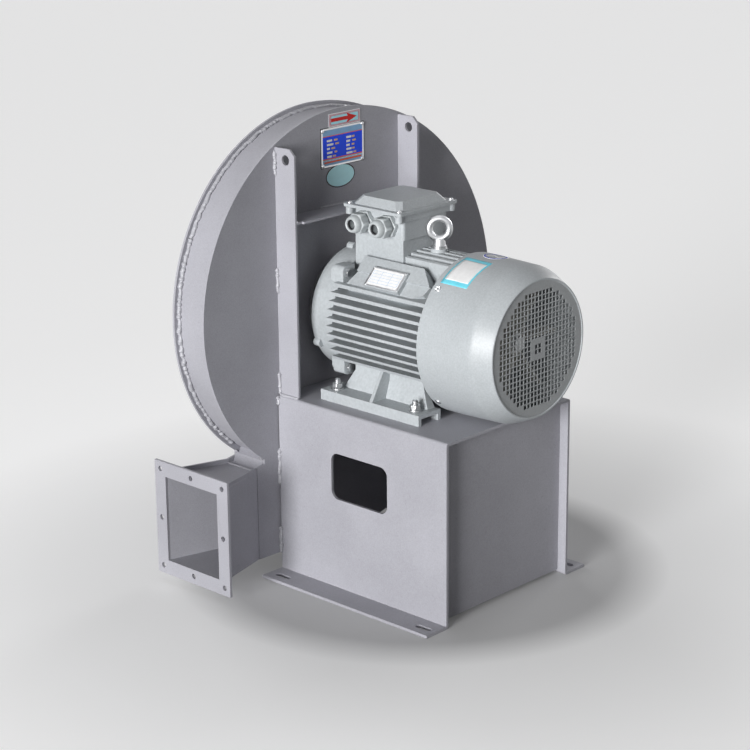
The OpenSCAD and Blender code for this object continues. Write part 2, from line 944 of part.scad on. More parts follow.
// Cross-section of the finned tube
module frame_section() {
  difference() {
    union() {
      circle(r = frame_r, $fn = 96);
      intersection() {
        circle(r = fin_tip_r, $fn = 96);
        union() {
          for (s = [0, 1]) mirror([s, 0]) for (i = [0:side_fins - 1])
            translate([0, (i - (side_fins - 1) / 2) * fin_pitch + side_fin_up])
              fin(frame_r * fin_root_share, fin_tip_r + cut);
        }
      }
    }
    circle(r = frame_r - frame_wall, $fn = 96);
  }
}
fin_root_share = 0.7;

// Cross-section of the top fins
module top_fin_section() {
  intersection() {
    circle(r = fin_tip_r, $fn = 96);
    for (i = [0:top_fins - 1]) translate([(i - (top_fins - 1) / 2) * fin_pitch, 0])
      rotate(quarter) fin(frame_r * fin_root_share, fin_tip_r + cut);
  }
}

// Facet of a shoulder pad, its outline given as shares of the pad
module pad_facet(shares, h) {
  z0 = frame_r - pad_sink;
  translate([pad_s0, pad_y0, z0]) linear_extrude(height = h - z0)
    polygon([for (q = shares) [q[0] * pad_w, q[1] * pad_l]]);
}

// Raised pad on a shoulder of the frame, with a lower and a higher facet
module shoulder_pad() {
  pad_facet(pad_high_shares, pad_h);
  pad_facet(pad_low_shares, pad_h - pad_step);
}
pad_high_shares = [[1, 0.94], [1, 0.17], [0.52, 0], [0.5, 0], [0.5, 0.93]];
pad_low_shares = [[0.5, 0.93], [0.5, 0], [0.24, 0.03], [0, 0.2], [0, 0.99]];

// One foot rail with its web and rib, on the side given by s
module foot(s) {
  x_in = rail_out - rail_w;
  web_x0 = x_in + web_in;
  top_z = stand_h + rail_h;
  mirror([s > 0 ? 0 : 1, 0, 0]) {
    difference() {
      box(x_in, rail_out, rail_y0, rail_y1, stand_h, top_z);
      box(x_in + rail_t, rail_out - rail_t, rail_y0 - cut, rail_y1 + cut, stand_h - cut, top_z - rail_t);
      for (y = [foot_y1, foot_y2]) translate([foot_a / 2, y, stand_h - cut])
        cylinder(r = m12_hole_r, h = rail_h + cut * 2);
    }
    hull() {
      box(web_x0, web_x0 + web_t + web_spread, web_y0, web_y1, top_z, top_z + web_edge);
      box(web_x0, web_x0 + web_t, web_y0 + web_slope, web_y1 - web_slope,
        top_z + web_rise - web_edge, top_z + web_rise);
    }
    difference() {
      box(web_x0, web_x0 + web_t, web_y0 + web_slope, web_y1 - web_slope, top_z, axis_z - frame_r / 2);
      at_axis() ycyl(frame_r - frame_wall / 2, rail_y0, rail_y1, $fn = 96);
    }
    difference() {
      along_y(rib_y - rib_t / 2, rib_y + rib_t / 2) polygon([[web_x0 + web_t, top_z],
        [rail_out - cut, top_z], [rail_out - rib_in, top_z + rib_top],
        [rail_out - rib_in, axis_z - frame_r / 2], [web_x0, axis_z - frame_r / 2], [web_x0, top_z]]);
      at_axis() ycyl(frame_r - frame_wall / 2, rail_y0, rail_y1, $fn = 96);
    }
  }
}
rib_in = 34;

// Block lug with one rounded corner, in X and Z
module lug_section(hole, out) {
  side = out - lug_round;
  difference() {
    union() {
      translate([lug_in, lug_in]) square([side - lug_in, out - lug_in]);
      translate([lug_in, lug_in]) square([out - lug_in, side - lug_in]);
      translate([side, side]) circle(r = lug_round);
    }
    translate([lug_at, lug_at]) circle(r = hole);
  }
}

// Bolt lugs at the drive end, four round the frame
module drive_lugs(y0, y1, hole, out) {
  along_y(y0, y1) for (sx = [0, 1]) for (sz = [0, 1]) mirror([sx, 0]) mirror([0, sz])
    lug_section(hole, out);
}

module motor_frame() {
  fin_y0 = frame_y0 + cowl_lug_l;
  fin_y1 = frame_y1 - fin_stop;
  ped_z0 = axis_z + frame_r * fin_root_share;
  fan_top_y1 = ped_y - ped_l / 2;
  row() color(c_motor) union() {
    at_axis() along_y(fin_y0, fin_y1) frame_section();
    at_axis() difference() {
      union() {
        ycyl(frame_r, frame_y0, frame_y1, $fn = 96);
        ycyl(shield_r, frame_y1 - frame_rim_l, frame_y1, $fn = 96);
      }
      ycyl(frame_r - frame_wall, frame_y0 - cut, frame_y1 + cut, $fn = 96);
    }
    difference() {
      union() {
        at_axis() along_y(fin_y0, fan_top_y1) top_fin_section();
        at_axis() for (s = [0, 1]) mirror([s, 0, 0]) rotate([0, -lug_angle, 0]) shoulder_pad();
        at_axis() rotate([0, -lug_angle, 0]) box(-plate_pad_w / 2, plate_pad_w / 2,
          plate_pad_y - plate_pad_l / 2, plate_pad_y + plate_pad_l / 2, pad_h - pad_step - cut,
          pad_h + plate_pad_h);
        box(-ped_w / 2, ped_w / 2, ped_y - ped_l / 2, ped_y + ped_l / 2, ped_z0, box_z);
        translate([0, boss_y, ped_z0]) cylinder(r = boss_r, h = boss_top - ped_z0);
      }
      at_axis() ycyl(frame_r - frame_wall / 2, frame_y0 - cut, frame_y1 + cut, $fn = 96);
      box(ped_wall - ped_w / 2, ped_w / 2 - ped_wall, ped_y - ped_l / 2 + ped_wall,
        ped_y + ped_l / 2 - ped_wall, axis_z + frame_r + ped_floor, box_z + cut);
      translate([0, boss_y, boss_top - eye_shank_l]) cylinder(r = eye_shank_r, h = eye_shank_l + cut);
    }
    at_axis() drive_lugs(frame_y1 - lug_l, frame_y1, m10_r + bolt_gap, lug_side);
    foot(-1);
    foot(1);
  }
}

module drive_end_shield() {
  face_y1 = -frame_gap;
  face_y0 = face_y1 - shield_face_t;
  dome_y = face_y1 - shield_dome;
  row() color(c_motor) at_axis() {
    difference() {
      union() {
        turned() polygon([[bearing_r, frame_y1], [shield_r, frame_y1], [shield_r, dome_y],
          [shield_r - shield_dome, face_y1], [bearing_r, face_y1]]);
        ycyl(shield_hub_r, frame_y1, face_y1);
        ycyl(frame_r - frame_wall, frame_y1 - spigot_l, frame_y1, $fn = 96);
        drive_lugs(frame_y1, frame_y1 + shield_lug_l, m10_r, lug_side - shield_lug_in);
        for (a = ear_turns) rotate([0, a, 0]) translate([ear_out, 0, 0])
          ycyl(ear_r, dome_y - ear_l, dome_y - ear_back);
      }
      difference() {
        ycyl(shield_r - shield_rim_t, frame_y1 + shield_flange_t, face_y0, $fn = 96);
        ycyl(shield_hub_r, frame_y1, face_y0 + cut);
      }
      difference() {
        ycyl(frame_r - frame_wall - shield_rim_t, frame_y1 - spigot_l - cut,
          frame_y1 + shield_flange_t + cut);
        ycyl(shield_hub_r, frame_y1 - spigot_l - cut * 2, frame_y1 + shield_flange_t + cut * 2);
      }
      ycyl(bearing_r, frame_y1 - spigot_l - cut, drive_bearing_y + bearing_w);
      ycyl(shield_hole_r, frame_y1 - spigot_l - cut, face_y1 + cut);
    }
  }
}

module shield_bolts() {
  row() color(c_zinc) at_axis() for (sx = [-1, 1]) for (sz = [-1, 1])
    translate([sx * lug_at, 0, sz * lug_at]) {
      ycyl(m10_r, frame_y1 - lug_l, frame_y1 + shield_lug_l);
      yhex(m10_head_r * sqrt(3), frame_y1 - lug_l - m10_head_h, frame_y1 - lug_l);
    }
}

module fan_end_shield() {
  y0 = frame_y0 - fan_shield_t;
  row() color(c_motor) at_axis() difference() {
    union() {
      ycyl(frame_r, y0, frame_y0, $fn = 96);
      ycyl(frame_r - frame_wall, frame_y0, frame_y0 + spigot_l, $fn = 96);
      ycyl(shield_hub_r, fan_bearing_y - fan_shield_t, frame_y0 + spigot_l);
      intersection() {
        for (i = [0:four - 1]) rotate([0, lug_angle + i * quarter, 0])
          box(frame_r - frame_wall, cowl_r, y0, y0 + cowl_lug_l - cowl_lug_over,
            -cowl_lug_w / 2, cowl_lug_w / 2);
        ycyl(cowl_r - cowl_t, y0 - cut, frame_y0 + cut, $fn = 96);
      }
    }
    ycyl(bearing_r, fan_bearing_y, frame_y0 + spigot_l + cut);
    ycyl(fan_seat_r + seal_gap, fan_bearing_y - fan_shield_t - cut, frame_y0 + spigot_l + cut);
    cowl_screw_ring(m6_r);
  }
}

// Radial screw positions round the cowl
module cowl_screw_ring(r) {
  for (i = [0:four - 1]) rotate([0, lug_angle + i * quarter, 0])
    translate([0, cowl_y1 - cowl_screw_in - cowl_t, 0]) xcyl(r, cowl_r - m6_grip, cowl_r + cut);
}

module fan_cowl() {
  t = cowl_t;
  row() color(c_cowl) at_axis() difference() {
    turned() polygon([[cowl_r, cowl_y1], [cowl_r, cowl_y1 - cowl_lug_l * 2],
      [cowl_crease_r, cowl_crease_y], [cowl_cone_r, cowl_cone_y],
      [cowl_face_r, cowl_y0], [grille_r, cowl_y0], [grille_r, cowl_y0 + cowl_face_t],
      [cowl_face_r - t / 2, cowl_y0 + cowl_face_t], [cowl_cone_r - t, cowl_cone_y + t / 2],
      [cowl_crease_r - t, cowl_crease_y], [cowl_r - t, cowl_y1 - cowl_lug_l * 2],
      [cowl_r - t, cowl_y1]]);
    cowl_screw_ring(m6_r + bolt_gap);
  }
}

module cowl_grille() {
  bar = grille_pitch - grille_hole;
  span = grille_n * grille_pitch;
  row() color(c_cowl) at_axis() along_y(cowl_y0, cowl_y0 + cowl_face_t) difference() {
    circle(r = grille_r, $fn = 96);
    difference() {
      intersection() {
        circle(r = grille_r - grille_edge, $fn = 96);
        for (i = [-grille_n:grille_n]) translate([i * grille_pitch - grille_hole / 2, -span])
          square([grille_hole, span * 2]);
        for (i = [-grille_n:grille_n]) translate([-span, i * grille_pitch - grille_hole / 2])
          square([span * 2, grille_hole]);
      }
      difference() {
        translate([-badge_out, -badge_out]) square([badge_out * 2, badge_out * 2]);
        translate([-badge_in, -badge_in]) square([badge_in * 2, badge_in * 2]);
      }
    }
  }
}

module cowl_screws() {
  row() color(c_zinc) at_axis() for (i = [0:four - 1]) rotate([0, lug_angle + i * quarter, 0])
    translate([0, cowl_y1 - cowl_screw_in - cowl_t, 0]) {
      xcyl(m6_r, cowl_r - m6_grip, cowl_r);
      xcyl(m6_head_r, cowl_r, cowl_r + m6_head_h);
    }
}

module stator_core() {
  row() color(c_steel) at_axis() difference() {
    ycyl(frame_r - frame_wall, core_y0, core_y0 + core_l, $fn = 96);
    ycyl(rotor_r + air_gap, core_y0 - cut, core_y0 + core_l + cut);
  }
}

module stator_windings() {
  row() color(c_copper) at_axis() for (y = [core_y0 - coil_l, core_y0 + core_l]) difference() {
    ycyl(coil_r1, y, y + coil_l);
    ycyl(coil_r0, y - cut, y + coil_l + cut);
  }
}

// Ring of one bearing race between two radii
module race(r0, r1, y) {
  difference() {
    ycyl(r1, y, y + bearing_w);
    ycyl(r0, y - cut, y + bearing_w + cut);
  }
}

module drive_bearing_outer() {
  row() color(c_steel) at_axis() race(bearing_r - race_t, bearing_r, drive_bearing_y);
}

module fan_bearing_outer() {
  row() color(c_steel) at_axis() race(bearing_r - race_t, bearing_r, fan_bearing_y);
}

module drive_bearing_inner() {
  row() color(c_steel) at_axis() race(bearing_bore, bearing_r - race_t - ball_gap, drive_bearing_y);
}

module fan_bearing_inner() {
  row() color(c_steel) at_axis() race(bearing_bore, bearing_r - race_t - ball_gap, fan_bearing_y);
}

module terminal_box() {
  z1 = box_z + box_h;
  row() color(c_motor) translate([0, box_y, 0]) difference() {
    union() {
      round_box(box_w, box_l, box_z, z1, box_round);
      lid_screw_set(lid_ear_r, z1 - lid_ear_h, z1);
      for (sy = [-1, 1]) box(-lid_screw_x, lid_screw_x, sy * lid_screw_y - lid_ear_r / 2,
        sy * lid_screw_y + lid_ear_r / 2, z1 - lid_ear_h, z1);
    }
    round_box(box_w - box_wall * 2, box_l - box_wall * 2, box_z + box_wall, z1 + cut, box_inner_round);
    box(-box_hole / 2, box_hole / 2, -box_hole / 2, box_hole / 2, box_z - cut, box_z + box_wall + cut);
    for (s = [-1, 1]) translate([0, s * gland_pitch / 2, box_z + gland_up])
      xcyl(gland_r, -box_w / 2 - cut, -box_w / 2 + box_wall + cut);
    lid_screw_set(lid_screw_r, z1 - lid_thread_l, z1 + cut);
  }
}

// Lid screw positions over the ears of the box
module lid_screw_set(r, z0, z1) {
  for (sx = [-1, 1]) for (sy = [-1, 1]) translate([sx * lid_screw_x, sy * lid_screw_y, z0])
    cylinder(r = r, h = z1 - z0, $fn = 24);
}

module terminal_gasket() {
  z0 = box_z + box_h;
  row() color(c_black) translate([0, box_y, 0]) difference() {
    round_box(box_w, box_l, z0, z0 + gasket_t, box_round);
    round_box(box_w - box_wall * 2, box_l - box_wall * 2, z0 - cut, z0 + gasket_t + cut, box_inner_round);
  }
}

module terminal_lid() {
  z0 = box_z + box_h + gasket_t;
  z1 = z0 + lid_rim;
  row() color(c_motor) translate([0, box_y, 0]) difference() {
    union() {
      round_box(lid_w, lid_l, z0, z1, lid_round);
      hull() {
        lid_slab(lid_margin, z1 - lid_flat_skin);
        lid_slab(lid_margin + lid_hip_in, z1 + lid_hip - lid_flat_skin);
      }
    }
    lid_screw_set(lid_screw_r + bolt_gap, z0 - cut, z1 + cut);
  }
}

// Slab of the raised lid top with cut corners, inset by e
module lid_slab(e, z) {
  x = lid_w / 2 - e;
  y = lid_l / 2 - e;
  box(-x + lid_chamfer, x - lid_chamfer, -y, y, z, z + lid_flat_skin);
  box(-x, x, -y + lid_chamfer, y - lid_chamfer, z, z + lid_flat_skin);
}

module lid_screws() {
  z0 = box_z + box_h + gasket_t + lid_rim;
  row() color(c_zinc) translate([0, box_y, 0]) {
    lid_screw_set(lid_screw_r, z0 - lid_rim - gasket_t - lid_thread_l, z0);
    lid_screw_set(lid_head_r, z0, z0 + lid_head_h);
  }
}

module terminal_board() {
  z0 = axis_z + frame_r + ped_floor;
  row() color(c_black) translate([0, box_y, 0])
    box(-board_w / 2, board_w / 2, -board_l / 2, board_l / 2, z0, z0 + board_h);
}

module terminal_studs() {
  z0 = axis_z + frame_r + ped_floor + board_h;
  row() color(c_copper) translate([0, box_y, 0]) for (sx = [-1, 1]) for (k = [0:stud_rows - 1])
    translate([sx * stud_pitch_x / 2, (k - (stud_rows - 1) / 2) * stud_pitch_y, z0]) {
      cylinder(r = stud_r, h = stud_h, $fn = 24);
      zhex(stud_nut_r * sqrt(3), 0, stud_nut_h);
    }
}

// Gland positions on the wall of the box
module glands() {
  for (s = [-1, 1]) translate([-box_w / 2, box_y + s * gland_pitch / 2, box_z + gland_up]) children();
}

module gland_locknuts() {
  row() color(c_zinc) glands() difference() {
    xhex(gland_nut_flat, box_wall, box_wall + gland_nut_h);
    xcyl(gland_r, box_wall - cut, box_wall + gland_nut_h + cut);
  }
}

module gland_bodies() {
  row() color(c_light) glands() difference() {
    union() {
      xcyl(gland_r, -gland_base_h - gland_neck_h, box_wall + gland_nut_h);
      xhex(gland_flat, -gland_base_h, 0);
    }
    xcyl(gland_bore, -gland_base_h - gland_neck_h - cut, box_wall + gland_nut_h + cut);
  }
}

module gland_caps() {
  x1 = -gland_base_h - gland_neck_h;
  x0 = x1 - gland_cap_h;
  row() color(c_light) glands() difference() {
    union() {
      xhex(gland_cap_flat, x0, x1);
      translate([x0 - gland_nose_h, 0, 0]) rotate([0, quarter, 0])
        cylinder(r1 = gland_nose_tip, r2 = gland_nose_r, h = gland_nose_h);
    }
    xcyl(gland_bore, x0 - gland_nose_h - cut, x1 + cut);
  }
}

module eye_bolt() {
  row() color(c_zinc) translate([0, boss_y, 0]) {
    translate([0, 0, eye_z]) rotate([quarter, 0, eye_turn]) rotate_extrude()
      translate([eye_mid_r, 0]) circle(r = eye_wire_r, $fn = 32);
    translate([0, 0, boss_top]) cylinder(r = eye_collar_r, h = eye_collar_h);
    translate([0, 0, boss_top + eye_collar_h])
      cylinder(r1 = eye_collar_r - eye_web, r2 = eye_neck_r,
        h = eye_z - eye_mid_r - boss_top - eye_collar_h);
    translate([0, 0, boss_top - eye_shank_l]) cylinder(r = eye_shank_r, h = eye_shank_l);
  }
}

// The four foot bolt positions
module foot_set() {
  for (sx = [-1, 1]) for (y = [foot_y1, foot_y2]) translate([sx * foot_a / 2, y, 0]) children();
}

module foot_bolts() {
  low = stand_h - stand_t;
  high = stand_h + rail_h + m12_washer_t + m12_nut_h + m12_spare;
  row() color(c_zinc) foot_set() {
    translate([0, 0, low]) cylinder(r = m12_r, h = high - low);
    zhex(m12_flat, low - m12_head_h, low);
  }
}

module foot_washers() {
  z0 = stand_h + rail_h;
  row() color(c_zinc) foot_set() translate([0, 0, z0]) difference() {
    cylinder(r = m12_washer_r, h = m12_washer_t);
    translate([0, 0, -cut]) cylinder(r = m12_r, h = m12_washer_t + cut * 2);
  }
}

module foot_nuts() {
  z0 = stand_h + rail_h + m12_washer_t;
  row() color(c_zinc) foot_set() difference() {
    zhex(m12_flat, z0, z0 + m12_nut_h);
    translate([0, 0, z0 - cut]) cylinder(r = m12_r, h = m12_nut_h + cut * 2);
  }
}

module motor_shaft() {
  row() color(c_steel) at_axis() difference() {
    union() {
      ycyl(fan_seat_r, fan_seat_y, fan_bearing_y);
      ycyl(bearing_bore, fan_bearing_y, shoulder_y);
      ycyl(core_shaft_r, fan_bearing_y + bearing_w, drive_bearing_y);
      ycyl(shaft_r, shoulder_y, shaft_end_y);
    }
    box(-key_w / 2, key_w / 2, key_in, key_in + key_l, shaft_r - key_h / 2, shaft_r + cut);
    ycyl(m16_r, shaft_end_y - m16_deep, shaft_end_y + cut);
    difference() {
      ycyl(fan_seat_r + cut, cool_y1 - cool_hub_l - ring_w, cool_y1 - cool_hub_l);
      ycyl(ring_groove, cool_y1 - cool_hub_l - ring_w * 2, cool_y1);
    }
  }
}

module shaft_key() {
  row() color(c_steel) at_axis()
    box(-key_w / 2, key_w / 2, key_in, key_in + key_l, shaft_r - key_h / 2, shaft_r + key_h / 2);
}

module rotor_core() {
  row() color(c_steel) at_axis() difference() {
    union() {
      ycyl(rotor_r, core_y0, core_y0 + core_l);
      ycyl(rotor_r - air_gap * 2, core_y0 - end_ring_l, core_y0 + core_l + end_ring_l);
    }
    ycyl(core_shaft_r, core_y0 - end_ring_l - cut, core_y0 + core_l + end_ring_l + cut);
    for (y = [core_y0 - end_ring_l, core_y0 + core_l]) difference() {
      ycyl(rotor_r - end_ring_t, y - cut, y + end_ring_l);
      ycyl(core_shaft_r - cut, y - cut * 2, y + end_ring_l + cut);
    }
  }
}

module cooling_fan() {
  y0 = cool_y1 - cool_hub_l;
  row() color(c_fan) at_axis() difference() {
    union() {
      ycyl(cool_hub_r, y0, cool_y1);
      ycyl(cool_disc_r, cool_y1 - cool_disc_t, cool_y1);
      for (i = [0:cool_blades - 1]) rotate([0, i * turn / cool_blades, 0])
        box(cool_hub_r - cut, cool_r, cool_y1 - cool_blade_l, cool_y1, -cool_blade_t / 2, cool_blade_t / 2);
    }
    ycyl(fan_seat_r, y0 - cut, cool_y1 + cut);
  }
}

module fan_ring() {
  y1 = cool_y1 - cool_hub_l;
  row() color(c_steel) at_axis() difference() {
    ycyl(ring_r, y1 - ring_w, y1);
    ycyl(ring_groove, y1 - ring_w - cut, y1 + cut);
  }
}

module impeller_hub() {
  row() color(c_steel) at_axis() difference() {
    union() {
      ycyl(hub_r, hub_face, hub_end_y);
      ycyl(hub_flange_r, disc_y + disc_t, disc_y + disc_t + hub_flange_t);
    }
    ycyl(shaft_r, hub_face - cut, hub_end_y + cut);
    box(-key_w / 2, key_w / 2, hub_face - cut, hub_end_y + cut, 0, shaft_r + key_h / 2);
    rivet_set(rivet_r, disc_y, disc_y + disc_t + hub_flange_t + cut);
  }
}

// Ring of rivet positions in the hub flange
module rivet_set(r, y0, y1) {
  for (i = [0:rivets - 1]) rotate([0, i * turn / rivets, 0]) translate([rivet_pcr, 0, 0]) ycyl(r, y0, y1);
}

module hub_rivets() {
  y1 = disc_y + disc_t + hub_flange_t;
  row() color(c_zinc) at_axis() {
    rivet_set(rivet_r, disc_y, y1);
    rivet_set(rivet_head_r, disc_y - rivet_head_h, disc_y);
    rivet_set(rivet_head_r, y1, y1 + rivet_head_h);
  }
}

module impeller_back_disc() {
  row() color(c_paint) at_axis() difference() {
    ycyl(wheel_r, disc_y, disc_y + disc_t, $fn = 96);
    ycyl(hub_r, disc_y - cut, disc_y + disc_t + cut);
    rivet_set(rivet_r, disc_y - cut, disc_y + disc_t + cut);
  }
}

// Profile of the air passage through the wheel, in radius and Y
module wheel_profile() {
  polygon([[wheel_in_r, disc_y + disc_t], [wheel_r, disc_y + disc_t], [wheel_r, shroud_tip_y],
    [wheel_in_r, shroud_eye_y]]);
}

module impeller_blades() {
  row() color(c_paint) at_axis() for (i = [0:blades - 1]) rotate([0, i * turn / blades, 0])
    intersection() {
      along_y(disc_y, case_w) intersection() {
        difference() {
          translate([blade_off, 0]) circle(r = blade_bend, $fn = 96);
          translate([blade_off, 0]) circle(r = blade_bend - blade_t, $fn = 96);
        }
        square([wheel_r * 2, wheel_r]);
      }
      turned() wheel_profile();
    }
}

module impeller_shroud() {
  t = shroud_t;
  row() color(c_paint) at_axis() turned() polygon([[wheel_in_r, shroud_eye_y],
    [wheel_r, shroud_tip_y], [wheel_r, shroud_tip_y + t], [wheel_in_r, shroud_eye_y + t],
    [wheel_in_r, shroud_eye_y + shroud_lip], [wheel_in_r - eye_wall, shroud_eye_y + shroud_lip],
    [wheel_in_r - eye_wall, shroud_eye_y]]);
}

module hub_washer() {
  row() color(c_zinc) at_axis() difference() {
    ycyl(washer_r, washer_y, washer_y + washer_t);
    ycyl(m16_r, washer_y - cut, washer_y + washer_t + cut);
  }
}

module hub_bolt() {
  row() color(c_zinc) at_axis() {
    ycyl(m16_r, shaft_end_y - m16_deep, washer_y + washer_t);
    yhex(m16_flat, washer_y + washer_t, washer_y + washer_t + m16_head_h);
  }
}

casing_near_plate();
casing_far_plate();
scroll_wrapper();
tongue_plate();
outlet_duct();
outlet_flange();
inlet_cone();
inlet_collar();
inlet_bolts();
seal_plate();
seal_screws();
left_upright();
right_upright();
cross_brace();
motor_stand();
stand_end_plate();
stitch_welds();
motor_frame();
drive_end_shield();
shield_bolts();
fan_end_shield();
fan_cowl();
cowl_grille();
cowl_screws();
stator_core();
stator_windings();
drive_bearing_outer();
fan_bearing_outer();
terminal_box();
terminal_gasket();
terminal_lid();
lid_screws();
terminal_board();
terminal_studs();
gland_locknuts();
gland_bodies();
gland_caps();
eye_bolt();
foot_bolts();
foot_washers();
foot_nuts();
motor_shaft();
shaft_key();
rotor_core();
drive_bearing_inner();
fan_bearing_inner();
cooling_fan();
fan_ring();
impeller_hub();
hub_rivets();
impeller_back_disc();
impeller_blades();
impeller_shroud();
hub_washer();
hub_bolt();
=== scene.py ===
import bpy, bmesh, json, math, random
from mathutils import Vector, Matrix


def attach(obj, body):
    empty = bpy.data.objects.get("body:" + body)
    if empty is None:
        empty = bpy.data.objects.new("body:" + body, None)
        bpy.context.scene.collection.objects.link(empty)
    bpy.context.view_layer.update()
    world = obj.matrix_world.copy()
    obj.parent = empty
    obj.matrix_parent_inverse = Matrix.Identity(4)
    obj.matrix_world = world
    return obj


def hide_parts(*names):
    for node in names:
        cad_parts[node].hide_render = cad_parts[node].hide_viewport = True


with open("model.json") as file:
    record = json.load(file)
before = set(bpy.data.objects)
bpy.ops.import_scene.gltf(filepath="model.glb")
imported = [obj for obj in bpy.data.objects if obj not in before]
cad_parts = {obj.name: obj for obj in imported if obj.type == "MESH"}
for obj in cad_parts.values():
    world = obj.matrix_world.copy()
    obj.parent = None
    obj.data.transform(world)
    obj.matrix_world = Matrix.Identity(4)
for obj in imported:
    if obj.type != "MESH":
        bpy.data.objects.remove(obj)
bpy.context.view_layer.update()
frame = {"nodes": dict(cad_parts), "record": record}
NODES = frame["nodes"]
MM = 0.001

# Stations are in millimetres: X from the motor axis, Y from the outer face of the motor side
# plate, Z from the floor. ROW_X and ROW_Y shift them to the row frame.
AXIS_Z = 541.0
ROW_X, ROW_Y = -39.95, 187.5
LEFT, NEAR, FAR, UP = (-1, 0, 0), (0, -1, 0), (0, 1, 0), (0, 0, 1)
SIDES = (-1, 1)


def P(x, y, z):
    """Point given in part stations, as a vector in the row frame in metres."""
    return Vector(((x + ROW_X) * MM, (y + ROW_Y) * MM, z * MM))


def turns(n):
    """Angles of n equal steps round a circle."""
    return [2 * math.pi * i / n for i in range(n)]


# ---------------------------------------------------------------- camera
CAMERA_AT = (-3112.1, -3036.75, 1740.4)
CAMERA_RIGHT = Vector((0.68500433, -0.72848712, -0.00869407))
CAMERA_UP = Vector((0.22342596, 0.19870139, 0.9542529))
CAMERA_AHEAD = Vector((0.69343342, 0.65560985, -0.29887424))
SENSOR_MM, FOCAL_PX, PICTURE_PX = 36.0, 2184.5, 750.0


def make_camera():
    data = bpy.data.cameras.new("camera")
    data.sensor_width = SENSOR_MM
    data.lens = SENSOR_MM * FOCAL_PX / PICTURE_PX
    data.clip_start, data.clip_end = 0.1, 100.0
    cam = bpy.data.objects.new("camera", data)
    bpy.context.scene.collection.objects.link(cam)
    m = Matrix((CAMERA_RIGHT, CAMERA_UP, -CAMERA_AHEAD)).transposed().to_4x4()
    m.translation = P(*CAMERA_AT)
    cam.matrix_world = m
    bpy.context.scene.camera = cam


make_camera()
bpy.context.scene.view_settings.view_transform = "Standard"


# ---------------------------------------------------------------- shader tools
def node_mat(name):
    m = bpy.data.materials.new(name)
    m.use_nodes = True
    nt = m.node_tree
    nt.nodes.clear()
    return m, nt, nt.nodes.new("ShaderNodeOutputMaterial")


def ramp(nt, fac, stops):
    """Colour ramp through pairs of position and colour, in rising order."""
    n = nt.nodes.new("ShaderNodeValToRGB")
    marks = n.color_ramp.elements
    for mark, (place, colour) in zip((marks[0], marks[1]), (stops[0], stops[-1])):
        mark.position = place
        mark.color = (*colour, 1)
    for place, colour in stops[1:-1]:
        marks.new(place).color = (*colour, 1)
    nt.links.new(fac, n.inputs[0])
    return n.outputs[0]


def remap(nt, value, low, high, given=(0.0, 1.0)):
    """Value moved from the span given to the span from low to high."""
    n = nt.nodes.new("ShaderNodeMapRange")
    n.inputs["From Min"].default_value, n.inputs["From Max"].default_value = given
    n.inputs["To Min"].default_value = low
    n.inputs["To Max"].default_value = high
    nt.links.new(value, n.inputs["Value"])
    return n.outputs[0]


def combine(nt, operation, a, b):
    """Scalar of two values, where b is a socket or a number."""
    n = nt.nodes.new("ShaderNodeMath")
    n.operation = operation
    nt.links.new(a, n.inputs[0])
    if isinstance(b, float):
        n.inputs[1].default_value = b
    else:
        nt.links.new(b, n.inputs[1])
    return n.outputs[0]


def noise(nt, vector, scale, detail, rough=0.5):
    n = nt.nodes.new("ShaderNodeTexNoise")
    n.inputs["Scale"].default_value = scale
    n.inputs["Detail"].default_value = detail
    n.inputs["Roughness"].default_value = rough
    nt.links.new(vector, n.inputs["Vector"])
    return n.outputs["Fac"]


def raise_grain(nt, shader, height, strength, distance):
    """Bump on a shader from a height, with its distance in metres."""
    n = nt.nodes.new("ShaderNodeBump")
    n.inputs["Strength"].default_value = strength
    n.inputs["Distance"].default_value = distance
    nt.links.new(height, n.inputs["Height"])
    nt.links.new(n.outputs[0], shader.inputs["Normal"])


def object_place(nt):
    return nt.nodes.new("ShaderNodeTexCoord").outputs["Object"]


def times(colour, factor):
    return [min(1, c * factor) for c in colour]


# ---------------------------------------------------------------- stage and lamps
SEEN = ("Is Camera Ray", "Is Glossy Ray", "Is Transmission Ray")
FLOOR_COLOUR = (0.50, 0.50, 0.505, 1)
FLOOR_HALF, FLOOR_DROP = 14.0, 0.0003
# Glow of the floor where it is seen: share of the reach below from the middle, and strength. The
# glow stays low near the middle, a painted shadow pool round the object, and rises farther out.
GLOW_AND_SHADE_REACH = 3.0
GLOW_WITH_PAINTED_SHADE = ((0.137, 0.06), (0.172, 0.32), (0.25, 0.40), (0.385, 0.56), (0.62, 0.54), (0.88, 0.54))
WORLD_COLOUR = (0.97, 0.97, 1.0, 1)
WORLD_DIFFUSE, WORLD_SEEN = 0.04, 0.72
# Far lamps: the direction that each shines from, in metres, and its strength
FAR_LAMPS = {"key_left": ((-12.4, -2.6, 1.8), 4.45),
             "back_soft": ((2.6, 9.5, 1.9), 2.0),
             "right_soft": ((9.8, 1.2, 1.9), 1.4)}
FAR_SPREAD = 24.0
# Near lamps: place, target and size in metres, and power in watts
NEAR_LAMPS = {"top_soft": ((-0.8, 0.2, 4.2), (0, 0, 0.4), (3.0, 3.0), 14),
              "front_fill": ((-2.6, -3.6, 1.9), (0, 0, 0.5), (1.6, 1.4), 10)}


def seen_rays(nt):
    """1 for the rays that see the stage itself, 0 for those that gather its light."""
    path = nt.nodes.new("ShaderNodeLightPath")
    first, *others = [path.outputs[kind] for kind in SEEN]
    for other in others:
        first = combine(nt, "MAXIMUM", first, other)
    return first


